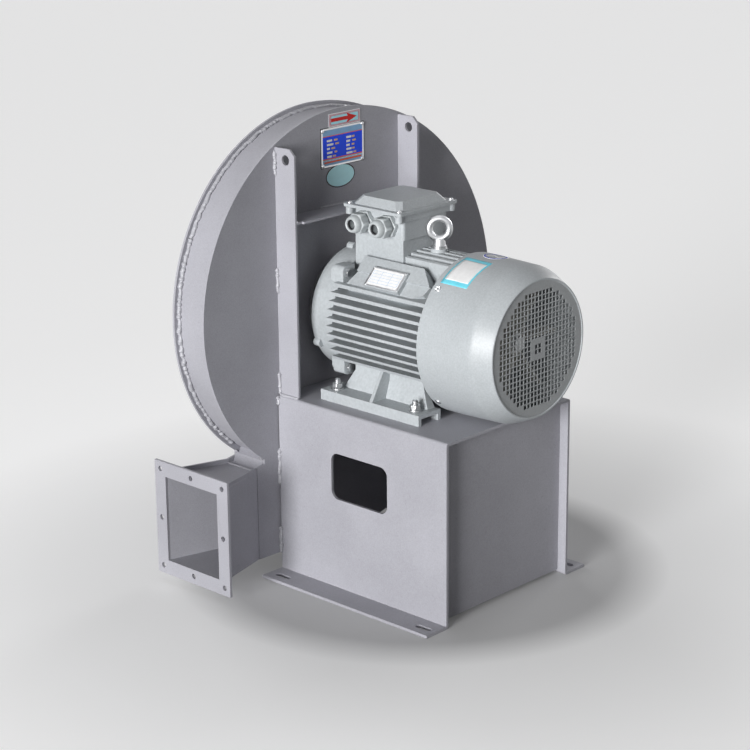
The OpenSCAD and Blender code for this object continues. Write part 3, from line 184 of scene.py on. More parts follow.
def make_floor():
    m, nt, out = node_mat("stage_floor")
    diff = nt.nodes.new("ShaderNodeBsdfDiffuse")
    diff.inputs["Color"].default_value = FLOOR_COLOUR
    dist = nt.nodes.new("ShaderNodeVectorMath")
    dist.operation = "LENGTH"
    nt.links.new(object_place(nt), dist.inputs[0])
    share = remap(nt, dist.outputs["Value"], 0.0, 1.0, (0.0, GLOW_AND_SHADE_REACH))
    # Painted shade: the floor glows less near the middle, so a dark pool stands round the object.
    glow_with_painted_shade = ramp(nt, share, [(place, (level,) * 3) for place, level in GLOW_WITH_PAINTED_SHADE])
    emit = nt.nodes.new("ShaderNodeEmission")
    nt.links.new(combine(nt, "MULTIPLY", seen_rays(nt), glow_with_painted_shade), emit.inputs["Strength"])
    both = nt.nodes.new("ShaderNodeAddShader")
    nt.links.new(diff.outputs[0], both.inputs[0])
    nt.links.new(emit.outputs[0], both.inputs[1])
    nt.links.new(both.outputs[0], out.inputs[0])
    me = bpy.data.meshes.new("floor")
    s = FLOOR_HALF
    me.from_pydata([(-s, -s, 0), (s, -s, 0), (s, s, 0), (-s, s, 0)], [], [(0, 1, 2, 3)])
    me.materials.append(m)
    o = bpy.data.objects.new("floor", me)
    o.location.z = -FLOOR_DROP
    bpy.context.scene.collection.objects.link(o)


def make_world():
    w = bpy.data.worlds.new("world")
    bpy.context.scene.world = w
    w.use_nodes = True
    nt = w.node_tree
    bg = nt.nodes["Background"]
    bg.inputs["Color"].default_value = WORLD_COLOUR
    nt.links.new(remap(nt, seen_rays(nt), WORLD_DIFFUSE, WORLD_SEEN), bg.inputs["Strength"])


def lamp(name, kind, loc, aim, energy):
    """Lamp at loc that shines along aim."""
    d = bpy.data.lights.new(name, kind)
    d.energy = energy
    o = bpy.data.objects.new(name, d)
    o.location = loc
    o.rotation_euler = aim.to_track_quat("-Z", "Y").to_euler()
    bpy.context.scene.collection.objects.link(o)
    return d


make_floor()
make_world()
for name, (toward, strength) in FAR_LAMPS.items():
    lamp(name, "SUN", toward, -Vector(toward), strength).angle = math.radians(FAR_SPREAD)
for name, (loc, target, size, power) in NEAR_LAMPS.items():
    d = lamp(name, "AREA", loc, Vector(target) - Vector(loc), power)
    d.shape = "RECTANGLE"
    d.size, d.size_y = size


# ---------------------------------------------------------------- materials
def bsdf(nt, out, colour, rough, metal=0.0, spec=0.5):
    b = nt.nodes.new("ShaderNodeBsdfPrincipled")
    b.inputs["Base Color"].default_value = (*colour, 1)
    b.inputs["Roughness"].default_value = rough
    b.inputs["Metallic"].default_value = metal
    b.inputs["Specular IOR Level"].default_value = spec
    nt.links.new(b.outputs[0], out.inputs[0])
    return b


def shade(nt, b, fac, stops, rough, span):
    """Base colour and roughness of a shader, both from one factor."""
    nt.links.new(ramp(nt, fac, stops), b.inputs["Base Color"])
    vary_gloss(nt, b, fac, rough, span)


def vary_gloss(nt, b, fac, rough, span):
    nt.links.new(remap(nt, fac, rough + span[0], rough + span[1]), b.inputs["Roughness"])


# Paint: scales of its noises, spans of its shade, flecks and gloss, height of its grain in m
DRIFT_SCALE, GRAIN_SCALE, SPECK_SCALE = 5.0, 420.0, 150.0
SHADE_SPAN, FLECK_SPAN, PAINT_GLOSS = (0.90, 1.07), (0.90, 1.10), (-0.07, 0.10)
GRAIN_HIGH = 0.0006
# Metal and films: span of the gloss, and of the metal's streaks
SCUFF = (-0.1, 0.15)
STREAK_BUMP, STREAK_HIGH = 0.12, 0.0003


def paint(name, colour, dirt, rough=0.42, grain=1.0, bump=0.25, speck=0.35, spec=0.5):
    """Machine paint: slow shade drift, fine grain, dust specks and an uneven gloss."""
    m, nt, out = node_mat(name)
    b = bsdf(nt, out, colour, rough, 0.0, spec)
    place = object_place(nt)
    big = noise(nt, place, DRIFT_SCALE, 6.0, 0.6)
    fine = noise(nt, place, GRAIN_SCALE * grain, 3.0)
    dots = noise(nt, place, SPECK_SCALE * grain, 2.0)
    flecks = nt.nodes.new("ShaderNodeVectorMath")
    flecks.operation = "SCALE"
    drift = ramp(nt, big, [(0.30, times(colour, SHADE_SPAN[0])),
                           (0.70, times(colour, SHADE_SPAN[1]))])
    nt.links.new(drift, flecks.inputs[0])
    nt.links.new(remap(nt, fine, *FLECK_SPAN, (0.25, 0.75)), flecks.inputs["Scale"])
    specks = ramp(nt, dots, [(0.66, (0, 0, 0)), (0.74, (1, 1, 1))])
    mix = nt.nodes.new("ShaderNodeMixRGB")
    nt.links.new(combine(nt, "MULTIPLY", specks, speck), mix.inputs[0])
    nt.links.new(flecks.outputs[0], mix.inputs[1])
    mix.inputs[2].default_value = (*dirt, 1)
    nt.links.new(mix.outputs[0], b.inputs["Base Color"])
    vary_gloss(nt, b, big, rough, PAINT_GLOSS)
    raise_grain(nt, b, fine, bump, GRAIN_HIGH)
    return m


def metal(name, colour, rough=0.32, streak=(1, 1, 1), dull=0.75, scale=60.0):
    """Plated or machined metal with fine streaks and duller patches."""
    m, nt, out = node_mat(name)
    b = bsdf(nt, out, colour, rough, 1.0)
    stretch = nt.nodes.new("ShaderNodeMapping")
    stretch.inputs["Scale"].default_value = streak
    nt.links.new(object_place(nt), stretch.inputs["Vector"])
    streaks = noise(nt, stretch.outputs[0], scale, 5.0)
    shade(nt, b, streaks, [(0.3, times(colour, dull)), (0.75, colour)], rough, SCUFF)
    raise_grain(nt, b, streaks, STREAK_BUMP, STREAK_HIGH)
    return m


def printed(name, colour, rough=0.4, wear=0.10):
    """Printed film or sheet: a drifting shade, fine mottling and scuffed gloss."""
    m, nt, out = node_mat(name)
    b = bsdf(nt, out, colour, rough)
    mottle = noise(nt, object_place(nt), 90.0, 7.0, 0.65)
    shade(nt, b, mottle, [(0.32, times(colour, 1 - wear)), (0.62, colour)], rough, SCUFF)
    return m


CASING = (0.360, 0.358, 0.392)
MOTOR = (0.405, 0.430, 0.446)
m_casing = paint("casing_paint", CASING, (0.22, 0.21, 0.22),
                 rough=0.44, bump=0.22, speck=0.25, spec=0.28)
m_motor = paint("motor_paint", MOTOR, (0.28, 0.31, 0.32),
                rough=0.40, grain=0.7, bump=0.35, speck=0.15)
m_grille = paint("grille_paint", (0.335, 0.350, 0.358), (0.24, 0.26, 0.27),
                 grain=0.7, bump=0.3, speck=0.15)
m_cast = paint("motor_cast_paint", MOTOR, (0.27, 0.30, 0.31),
               rough=0.46, grain=0.45, bump=0.6, speck=0.3)
m_weld = paint("weld_paint", (0.40, 0.40, 0.43), (0.30, 0.29, 0.30),
               rough=0.34, grain=2.0, bump=0.5, speck=0.3)
m_gland = paint("gland_metal", (0.47, 0.50, 0.51), (0.3, 0.32, 0.33),
                rough=0.34, bump=0.15, speck=0.1)
m_seal = paint("gland_seal_rubber", (0.06, 0.06, 0.065), (0.1, 0.1, 0.1),
               rough=0.6, grain=1.5, bump=0.2, speck=0.2)
m_rubber = paint("gasket_rubber", (0.03, 0.03, 0.03), (0.05, 0.05, 0.05),
                 rough=0.7, bump=0.2, speck=0.2)
m_black = paint("black_plastic", (0.03, 0.03, 0.032), (0.05, 0.05, 0.05),
                rough=0.5, bump=0.1, speck=0.1)
m_fan = paint("fan_plastic", (0.86, 0.84, 0.79), (0.6, 0.57, 0.52),
              rough=0.5, grain=0.8, bump=0.1, speck=0.2)
m_zinc = metal("zinc", (0.70, 0.71, 0.72), 0.34)
m_steel = metal("bare_steel", (0.56, 0.57, 0.58), 0.36, (1, 12, 1))
m_copper = metal("copper_coil", (0.60, 0.30, 0.15), 0.4, (1, 10, 1))
m_brass = metal("brass", (0.74, 0.58, 0.28), 0.3)
m_alu = metal("plate_aluminium", (0.78, 0.78, 0.79), 0.30, (1, 1, 14), 0.86, 80.0)
m_white = printed("film_white", (0.82, 0.82, 0.82))
m_cyan = printed("film_cyan", (0.16, 0.64, 0.78))
m_pale = printed("film_pale_blue", (0.42, 0.82, 0.92))
m_oval = printed("film_oval", (0.58, 0.95, 1.0), 0.5, 0.04)
m_steelblue = printed("film_steel_blue", (0.56, 0.58, 0.66))
m_blue = printed("film_blue", (0.006, 0.07, 0.88), 0.5)
m_band = printed("film_grey_blue", (0.26, 0.46, 0.70), 0.5)
m_red = printed("film_red", (0.60, 0.006, 0.004), 0.5)
m_rim = printed("film_dull_red", (0.62, 0.16, 0.18), 0.5)
m_orange = printed("film_orange", (0.86, 0.13, 0.02), 0.5)
m_cream = printed("film_cream", (0.95, 0.93, 0.84), 0.4, 0.05)
m_tan = printed("film_tan", (0.80, 0.52, 0.24))
m_navy = printed("film_navy", (0.03, 0.05, 0.36), 0.5)
m_dark = printed("film_dark", (0.03, 0.018, 0.016), 0.6)

SLOTS = {"casing_paint": m_casing, "motor_paint": m_motor, "gland_metal": m_gland,
         "zinc": m_zinc, "bare_steel": m_steel, "copper_coil": m_copper, "brass": m_brass,
         "gasket_rubber": m_rubber, "black_plastic": m_black, "fan_plastic": m_fan}
SLOT_OF = {s["node"]: s["material_slot"] for s in frame["record"]["subparts"]}
CAST_NODES = ("motor_frame", "drive_end_shield", "fan_end_shield")
for name, o in NODES.items():
    mat = m_cast if name in CAST_NODES else SLOTS[SLOT_OF[name]]
    if not o.data.materials:
        o.data.materials.append(mat)
    for i in range(len(o.data.materials)):
        o.data.materials[i] = mat


# ---------------------------------------------------------------- edges of the CAD solids
MERGE_M = 4e-6
FLAT_DEG, SHARP_DEG = 0.4, 32
# Width of the rounded edges of each node, in millimetres
EDGE = {"casing_near_plate": 0.8, "casing_far_plate": 0.8, "scroll_wrapper": 0.6,
        "tongue_plate": 0.6, "outlet_duct": 0.6, "outlet_flange": 0.9, "inlet_cone": 0.6,
        "inlet_collar": 0.8, "seal_plate": 0.8, "left_upright": 0.9, "right_upright": 0.9,
        "cross_brace": 0.8, "motor_stand": 0.9, "stand_end_plate": 0.8, "motor_frame": 1.3,
        "drive_end_shield": 2.0, "fan_end_shield": 1.2, "terminal_box": 1.6,
        "terminal_lid": 1.8, "foot_washers": 0.5, "motor_shaft": 0.8, "impeller_hub": 1.0,
        "impeller_back_disc": 0.5, "hub_washer": 0.6}


def finish_edges(name, width):
    """Merges the mesh of a node and rounds its edges, in mm, by modifiers alone."""
    stack = NODES[name].modifiers
    stack.new("weld", "WELD").merge_threshold = MERGE_M
    d = stack.new("flat", "DECIMATE")
    d.decimate_type = "DISSOLVE"
    d.angle_limit = math.radians(FLAT_DEG)
    b = stack.new("round", "BEVEL")
    b.width = width * MM
    b.segments = 2
    b.limit_method = "ANGLE"
    b.angle_limit = math.radians(SHARP_DEG)
    b.use_clamp_overlap = True
    n = stack.new("normals", "WEIGHTED_NORMAL")
    n.mode = "FACE_AREA"
    n.weight = 100
    n.keep_sharp = False


for name, width in EDGE.items():
    finish_edges(name, width)


# ---------------------------------------------------------------- mesh tools
def put(name, bm, mat, body="blower", smooth=True, split=None):
    """Object from a mesh on a body; split is the angle of its sharp edges in degrees."""
    me = bpy.data.meshes.new(name)
    bmesh.ops.recalc_face_normals(bm, faces=bm.faces)
    bm.to_mesh(me)
    bm.free()
    if smooth:
        me.shade_smooth()
    me.materials.append(mat)
    o = bpy.data.objects.new(name, me)
    bpy.context.scene.collection.objects.link(o)
    if split:
        o.modifiers.new("split", "EDGE_SPLIT").split_angle = math.radians(split)
    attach(o, body)
    return o


def grid(bm, rows, cap=True):
    """Skin between closed rings of points; cap closes both ends by fans."""
    rings = [[bm.verts.new(p) for p in row] for row in rows]
    n = len(rings[0])
    for a, b in zip(rings, rings[1:]):
        for i in range(n):
            j = (i + 1) % n
            bm.faces.new((a[i], a[j], b[j], b[i]))
    if cap:
        for ring in (rings[0], rings[-1]):
            mid = bm.verts.new(sum((v.co for v in ring), Vector()) / n)
            for i in range(n):
                bm.faces.new((ring[i], ring[(i + 1) % n], mid))


def close_up(bm, distance):
    bmesh.ops.remove_doubles(bm, verts=bm.verts, dist=distance)


STEEP = 0.9


def basis(axis):
    """The axis and two directions across it."""
    a = Vector(axis).normalized()
    u = a.cross(Vector((0, 0, 1)) if abs(a.z) < STEEP else Vector((1, 0, 0))).normalized()
    return a, u, a.cross(u).normalized()


def hexagon(flat, t, r):
    """Radius at the angle t of a hexagon as wide as flat, no larger than r."""
    return min(r, flat / 2 / math.cos(t % (math.pi / 3) - math.pi / 6))


def turned(centre, axis, pairs, n, flat=None, turn=0.0):
    """Rings of n points for pairs of radius and height in mm from centre along axis.
    flat trims each ring to a hexagon of that width, turned by turn."""
    a, u, v = basis(axis)
    rows = []
    for r, h in pairs:
        row = []
        for step in turns(n):
            t = step + turn
            q = hexagon(flat, step, r) if flat else r
            row.append(centre + (a * h + u * (q * math.cos(t)) + v * (q * math.sin(t))) * MM)
        rows.append(row)
    return rows


def lathe(bm, centre, axis, pairs, n=48, flat=None, turn=0.0):
    """Turned solid."""
    grid(bm, turned(centre, axis, pairs, n, flat, turn))


def ring_profile(bm, centre, axis, pairs, n=48, flat=None):
    """Turned ring from a closed profile."""
    grid(bm, turned(centre, axis, pairs + pairs[:1], n, flat), cap=False)
    close_up(bm, 1e-7)


def divided(pts, parts):
    """Polyline with each of its lines cut into equal parts."""
    out = []
    for (r0, h0), (r1, h1) in zip(pts, pts[1:]):
        out += [(r0 + (r1 - r0) * i / parts, h0 + (h1 - h0) * i / parts) for i in range(parts)]
    return out + [pts[-1]]


def nut(bm, centre, axis, flat, high, chamfer=(True, True), turn=0.0):
    """Hexagon with turned chamfers on the ends that chamfer asks for, low and high."""
    parts, edge = 4, 0.01
    c = flat / 2
    k = c / math.cos(math.pi / 6)
    slope, tip = (k - c) * 0.58, c * 0.94
    lo = [(tip, 0), (c, edge), (k, slope)] if chamfer[0] else [(k, 0)]
    hi = [(k, high - slope), (c, high - edge), (tip, high)] if chamfer[1] else [(k, high)]
    lathe(bm, centre, axis, divided(lo, parts) + divided(hi, parts), flat=flat, turn=turn)


def thread(bm, centre, axis, r, low, high, pitch):
    """Threaded rod with a true helix and a chamfered free end."""
    n, steps, deep, chamfer = 20, 5, 0.62, 0.8
    a, u, v = basis(axis)
    m = max(4, int((high - low) / pitch * steps))
    rows = []
    for k in range(m + 1):
        h = low + (high - low) * k / m
        row = []
        for i, t in enumerate(turns(n)):
            f = (h / pitch - i / n) % 1.0
            q = r - deep * pitch * 0.5 * abs(2 * f - 1)
            if high - h < pitch:
                q = min(q, r - (pitch - (high - h)) * chamfer)
            row.append(centre + (a * h + u * (q * math.cos(t)) + v * (q * math.sin(t))) * MM)
        rows.append(row)
    grid(bm, rows)


def corner(p, a, b, size, steps):
    """Arc that cuts the corner p between its neighbours a and b."""
    da, db = (a - p).normalized() * size, (b - p).normalized() * size
    return [p + da * (1 - i / steps) ** 2 + db * (i / steps) ** 2 for i in range(steps + 1)]


def plate(bm, corners, normal, thick, round_mm=0.0):
    """Thin plate on the corner points, raised along normal by thick mm."""
    steps = 4
    pts = corners
    if round_mm:
        pts = []
        for i, p in enumerate(corners):
            pts += corner(p, corners[i - 1], corners[(i + 1) % len(corners)],
                          round_mm * MM, steps)
    n = Vector(normal).normalized() * (thick * MM)
    low = [bm.verts.new(p) for p in pts]
    top = [bm.verts.new(p + n) for p in pts]
    bm.faces.new(low)
    bm.faces.new(top)
    for i in range(len(pts)):
        j = (i + 1) % len(pts)
        bm.faces.new((low[i], low[j], top[j], top[i]))


# ---------------------------------------------------------------- weld beads
def bead(bm, pts, r, seed, pitch=4.2, rough=1.0):
    """Lumpy weld bead along the points in mm, with overlapping ripples."""
    n, cuts, core, flatten = 8, 3, 0.86, 0.85
    ripple, fall, lumpy, shift = 0.16, 0.7, 0.10, 0.12
    tip, taper = 0.25, 1.2
    rnd = random.Random(seed)
    pts = [Vector(p) for p in pts]
    length = [0.0]
    for a, b in zip(pts, pts[1:]):
        length.append(length[-1] + (b - a).length)
    total = length[-1]
    m = max(4, int(total / pitch * cuts))
    rows, k = [], 0
    lump = [rnd.uniform(-1, 1) for _ in range(int(total / pitch) + 3)]
    for i in range(m + 1):
        d = total * i / m
        while k < len(pts) - 2 and length[k + 1] < d:
            k += 1
        f = (d - length[k]) / max(1e-9, length[k + 1] - length[k])
        p = pts[k].lerp(pts[k + 1], f)
        _, u, v = basis(pts[k + 1] - pts[k])
        c = int(d / pitch)
        q = r * (core + ripple * (1 - (d / pitch - c)) ** fall + lumpy * rough * lump[c])
        q *= min(1.0, tip + min(d, total - d) / (r * taper))
        p += (u * lump[c + 1] + v * lump[c]) * (shift * rough * r)
        rows.append([P(*(p + u * (q * math.cos(t)) + v * (q * flatten * math.sin(t))))
                     for t in turns(n)])
    grid(bm, rows)


# Quarters of the casing scroll: centre X, centre Z, radius, and start and end in degrees
SCROLL = ((-13.9, 553.0, 369.0, 232, 180), (6.4, 553.0, 389.3, 180, 90),
          (6.4, 477.8, 464.5, 90, 0), (26.3, 477.8, 444.6, 0, -90))
SCROLL_END = (-246.0, 45.2)
ARC_STEP = 2.0


def arc(cx, cz, r, a0, a1, y):
    k = int(abs(a1 - a0) / ARC_STEP)
    angles = [math.radians(a0 + (a1 - a0) * i / k) for i in range(k + 1)]
    return [(cx + r * math.cos(a), y, cz + r * math.sin(a)) for a in angles]


def scroll_path(y, inset):
    """Line along the scroll at y, from the tongue over the top to the floor of the duct."""
    pts = []
    for cx, cz, r, a0, a1 in SCROLL:
        pts += arc(cx, cz, r - inset, a0, a1, y)[1 if pts else 0:]
    return pts + [(SCROLL_END[0], y, SCROLL_END[1])]


bm = bmesh.new()
FAR_SEAM_Y, FAR_SEAM_IN = 82.6, 10.4
NEAR_SEAM_Y, NEAR_SEAM_IN = 5.6, 12.4
bead(bm, scroll_path(FAR_SEAM_Y, FAR_SEAM_IN), r=5.2, seed=11, pitch=5.0, rough=2.0)
bead(bm, scroll_path(NEAR_SEAM_Y, NEAR_SEAM_IN), r=2.6, seed=12)
put("casing_weld_beads", bm, m_weld)

# Stitches along the stand and the uprights, as pairs of heights, and beads at their feet
PLATE_SEAM_Y = -1.6
STAND_SEAM_X, STAND_STITCHES = 188.0, ((38.7, 98), (187.3, 267.1), (360.0, 380.0))
UPRIGHT_SEAM_X, UPRIGHT_STITCHES = 182.4, ((382, 428.5), (592.7, 646.0), (831.6, 883.2))
UPRIGHT_FOOT_X, UPRIGHT_FOOT_Z, UPRIGHT_IN_X, UPRIGHT_IN_Z = (183.0, 182.6), 382.4, 174.6, 382.0
bm = bmesh.new()
for sx in SIDES:
    for x, r, seed, stitches in ((STAND_SEAM_X, 4.6, 20, STAND_STITCHES),
                                 (UPRIGHT_SEAM_X, 4.4, 30, UPRIGHT_STITCHES)):
        for k, (z0, z1) in enumerate(stitches):
            bead(bm, [(sx * x, PLATE_SEAM_Y, z0), (sx * x, PLATE_SEAM_Y, z1)], r, seed + k,
                 pitch=5.0, rough=1.8)
    bead(bm, [(sx * x, y, UPRIGHT_FOOT_Z) for x, y in zip(UPRIGHT_FOOT_X, (-2, -55))],
         r=3.4, seed=37, rough=2.0)
    bead(bm, [(sx * UPRIGHT_IN_X, y, UPRIGHT_IN_Z) for y in (-4, -53)],
         r=2.6, seed=38, rough=1.5)
o = put("stand_weld_beads", bm, m_weld)
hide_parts("stitch_welds")

# Beads round the tongue, across the duct root, and under the cross brace
TONGUE_LINE = ((-250, 231.5), (-221, 231.5), (-216, 238), (-222, 246), (-233, 256))
TONGUE_YS = (8.5, 81.5)
ROOT_SEAM_X, ROOT_SEAM_YS = -250.5, (2, 88)
BRACE_Z, BRACE_FRONT_Z = 746.0, 746.2
BRACE_END_X, BRACE_END_YS = 174.4, (-6, -56)
bm = bmesh.new()
for y in TONGUE_YS:
    bead(bm, [(x, y, z) for x, z in TONGUE_LINE], r=2.6, seed=41)
for z, r, seed in ((231.2, 3.2, 43), (45.6, 3.0, 44)):
    bead(bm, [(ROOT_SEAM_X, y, z) for y in ROOT_SEAM_YS], r, seed)
for x0, x1 in ((-172, -128), (-58, 22), (96, 150)):
    bead(bm, [(x, PLATE_SEAM_Y, BRACE_FRONT_Z) for x in (x0, x1)], r=2.8, seed=x1, rough=1.6)
for sx in SIDES:
    bead(bm, [(sx * BRACE_END_X, y, BRACE_Z) for y in BRACE_END_YS],
         r=2.4, seed=60 + sx, rough=1.4)
put("tongue_weld_beads", bm, m_weld)

# Beads along the four edges of the flared duct, from its root to the flange
DUCT_MID_Y, ROOT_HALF, MOUTH_HALF = 45, 41.5, 79.2
ROOT_X, MOUTH_X = -251, -384
# Heights of the upper and lower edges at the root and the mouth, and their seeds
DUCT_EDGES = ((232, 234.6, 45), (45.4, 45.2, 49))
bm = bmesh.new()
for s in SIDES:
    for z0, z1, seed in DUCT_EDGES:
        bead(bm, [(ROOT_X, DUCT_MID_Y + s * ROOT_HALF, z0),
                  (MOUTH_X, DUCT_MID_Y + s * MOUTH_HALF, z1)], r=2.4, seed=seed + s)
put("duct_weld_beads", bm, m_weld)


# ---------------------------------------------------------------- fasteners
def screw_head(bm, centre, axis, r, h, turn, washer=0.0):
    """Domed head with a sunk cross, on an optional washer of the radius washer."""
    rim, dome = 0.45, 0.98
    cross_wide, cross_reach, cross_deep, cross_above = 0.17, 0.72, 0.38, 0.5
    base = 0.0
    if washer:
        base = 1.0
        lathe(bm, centre, axis, [(r * 0.4, 0), (washer, 0), (washer, base), (r * 0.9, 1.2)], n=28)
    pairs = [(r * 0.5, base), (r, base), (r, base + h * rim)]
    for i in range(1, 7):
        t = i / 6 * math.pi / 2
        pairs.append((max(0.05, r * math.cos(t) * dome),
                      base + h * (rim + (1 - rim) * math.sin(t))))
    a, u, v = basis(axis)
    c, s = math.cos(turn), math.sin(turn)
    rows = []
    for rr, hh in pairs:
        row = []
        for t in turns(36):
            x, y = rr * math.cos(t), rr * math.sin(t)
            in_arm = min(abs(x * c + y * s), abs(y * c - x * s)) < r * cross_wide
            sunk = in_arm and rr < r * cross_reach and hh > base + h * cross_above
            deep = h * cross_deep if sunk else 0.0
            row.append(centre + (a * (hh - deep) + u * x + v * y) * MM)
        rows.append(row)
    grid(bm, rows)


def out_dir(deg):
    """Direction away from the motor axis; deg runs from -X up over +Z."""
    t = math.radians(deg)
    return Vector((-math.cos(t), 0, math.sin(t)))


def around(r, deg, y):
    """Point at a radius about the motor axis."""
    t = math.radians(deg)
    return P(-r * math.cos(t), y, AXIS_Z + r * math.sin(t))


# Terminal box: middle and underside, heights of the box, gasket and lid, and the lid screws
BOX_Y, BOX_Z = -168.0, 716.0
BOX_HIGH, GASKET_T, LID_T = 52, 1, 6
LID_TOP = BOX_Z + BOX_HIGH + GASKET_T + LID_T
LID_SCREW_X, LID_SCREW_Y, LID_SCREW_LONG = 76, 66, 18
bm = bmesh.new()
for i, (sx, sy) in enumerate((sx, sy) for sx in SIDES for sy in SIDES):
    x, y = sx * LID_SCREW_X, BOX_Y + sy * LID_SCREW_Y
    screw_head(bm, P(x, y, LID_TOP), UP, r=4.6, h=3.0, turn=0.4 + i, washer=6.2)
    lathe(bm, P(x, y, LID_TOP - LID_SCREW_LONG), UP, [(2.4, 0), (2.4, LID_SCREW_LONG + 0.2)],
          n=16)
o = put("lid_screw_heads", bm, m_zinc, split=35)
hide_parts("lid_screws")

# Cowl screws: station, and radii of their heads' seats and of their inner ends
COWL_SCREW_Y, SCREW_SEAT_R, SCREW_END_R = -368.0, 158.8, 140
bm = bmesh.new()
for i in range(4):
    deg = 45 + 90 * i
    screw_head(bm, around(SCREW_SEAT_R, deg, COWL_SCREW_Y), out_dir(deg),
               r=6.2, h=3.4, turn=0.7 + i)
    lathe(bm, around(SCREW_END_R, deg, COWL_SCREW_Y), out_dir(deg), [(2.9, 0), (2.9, 19)], n=16)
o = put("cowl_screw_heads", bm, m_zinc, split=35)
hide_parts("cowl_screws")

# Foot bolts: head under the stand top, nut on the motor foot
FOOT = [(sx * 127.0, y) for sx in SIDES for y in (-111.0, -321.0)]
FOOT_FLAT, FOOT_HEAD_Z, FOOT_NUT_Z, FOOT_END_Z = 19, 367.5, 406.2, 425.0
bm = bmesh.new()
for x, y in FOOT:
    thread(bm, P(x, y, 0), UP, r=6.0, low=FOOT_HEAD_Z + 0.5, high=FOOT_END_Z, pitch=1.75)
    nut(bm, P(x, y, FOOT_HEAD_Z), UP, FOOT_FLAT, high=7.5, chamfer=(True, False))
o = put("foot_bolt_threads", bm, m_zinc, split=40)
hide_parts("foot_bolts")
bm = bmesh.new()
for i, (x, y) in enumerate(FOOT):
    nut(bm, P(x, y, FOOT_NUT_Z), UP, FOOT_FLAT, high=9.8, turn=0.35 * i)
o = put("foot_nut_hexes", bm, m_zinc, split=40)
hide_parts("foot_nuts")

SHIELD_BOLT, SHIELD_BOLT_Y = 98, -116.0
bm = bmesh.new()
for sx in SIDES:
    for sz in SIDES:
        c = P(sx * SHIELD_BOLT, SHIELD_BOLT_Y, AXIS_Z + sz * SHIELD_BOLT)
        nut(bm, c, NEAR, flat=16, high=6.4, chamfer=(False, True), turn=0.2 * sx)
        thread(bm, c, FAR, r=4.9, low=-0.5, high=39.0, pitch=1.5)
o = put("shield_bolt_heads", bm, m_zinc, split=40)
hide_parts("shield_bolts")

INLET_BOLTS, INLET_BOLT_R, INLET_FACE_Y = 8, 170, 98
bm = bmesh.new()
for i in range(INLET_BOLTS):
    t = math.radians((i + 0.5) * 360 / INLET_BOLTS)
    c = P(INLET_BOLT_R * math.cos(t), INLET_FACE_Y, AXIS_Z - INLET_BOLT_R * math.sin(t))
    nut(bm, c, FAR, flat=13, high=5.3, chamfer=(False, True), turn=i)
    thread(bm, c, NEAR, r=3.95, low=-0.3, high=18.0, pitch=1.25)
o = put("inlet_bolt_heads", bm, m_zinc, split=40)
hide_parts("inlet_bolts")

HUB_WASHER_Y = 115
bm = bmesh.new()
nut(bm, P(0, HUB_WASHER_Y, AXIS_Z), FAR, flat=24, high=10, chamfer=(False, True))
lathe(bm, P(0, HUB_WASHER_Y, AXIS_Z), FAR, [(7.9, -38), (7.9, 0.5)], n=24)
o = put("hub_bolt_head", bm, m_zinc, body="rotor", split=40)
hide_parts("hub_bolt")


# ---------------------------------------------------------------- fan cowl and grille
def spun(pts, sizes):
    """Polyline whose corner k is cut by sizes[k] mm with a smooth arc."""
    out = []
    for k, (p, size) in enumerate(zip(pts, sizes)):
        if size:
            a, b = Vector(pts[k - 1]), Vector(pts[k + 1])
            out += [(w.x, w.y) for w in corner(Vector(p), a, b, size, steps=6)]
        else:
            out.append(p)
    return out


# Cowl profile, as radius and distance behind the plate: cylinder, slight cone, drawn end, and
# the rolled lip that holds the grille
COWL_R, COWL_WALL, CONE_R = 159, 2, 156
OPEN_Y, CONE_Y, CREASE_Y, LIP_Y = 353.2, 383, 483, 525
OUTSIDE = spun([(157.2, OPEN_Y), (COWL_R, OPEN_Y), (COWL_R, CONE_Y), (CONE_R, CREASE_Y),
                (142.2, 515), (137.2, LIP_Y), (133.4, 524.6), (133.2, 522.3), (131.0, 522.3)],
               [0, 0.8, 0, 7, 4.5, 1.8, 1.2, 0.4, 0])
INSIDE = spun([(131.0, 521.0), (134.5, 521.0), (140.4, 514), (CONE_R - COWL_WALL, 482.5),
               (COWL_R - COWL_WALL, CONE_Y), (COWL_R - COWL_WALL, 354)],
              [0, 2, 3, 5, 0, 0])
bm = bmesh.new()
ring_profile(bm, P(0, 0, AXIS_Z), NEAR, OUTSIDE + INSIDE, n=144)
o = put("spun_fan_cowl", bm, m_motor, split=38)
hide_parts("fan_cowl")

# Grille sheet: square holes on a square pitch inside REACH, round a plain square field
PITCH, HOLE = 10.4, 8.7
FIELD_IN, FIELD_OUT = PITCH, 2 * PITCH
GRILLE_R, REACH, GRILLE_Y = 133.6, 122.5, -522.4
SHEET_HALF, SHEET_EDGE = 0.35, 0.25
HOLES_OUT = 12
cu = bpy.data.curves.new("punched_grille", "CURVE")
cu.dimensions = "2D"
cu.fill_mode = "BOTH"
cu.extrude = SHEET_HALF * MM
cu.bevel_depth = SHEET_EDGE * MM
cu.bevel_resolution = 2


def outline(pts):
    sp = cu.splines.new("POLY")
    sp.points.add(len(pts) - 1)
    for p, (x, y) in zip(sp.points, pts):
        p.co = (x * MM, y * MM, 0, 1)
    sp.use_cyclic_u = True


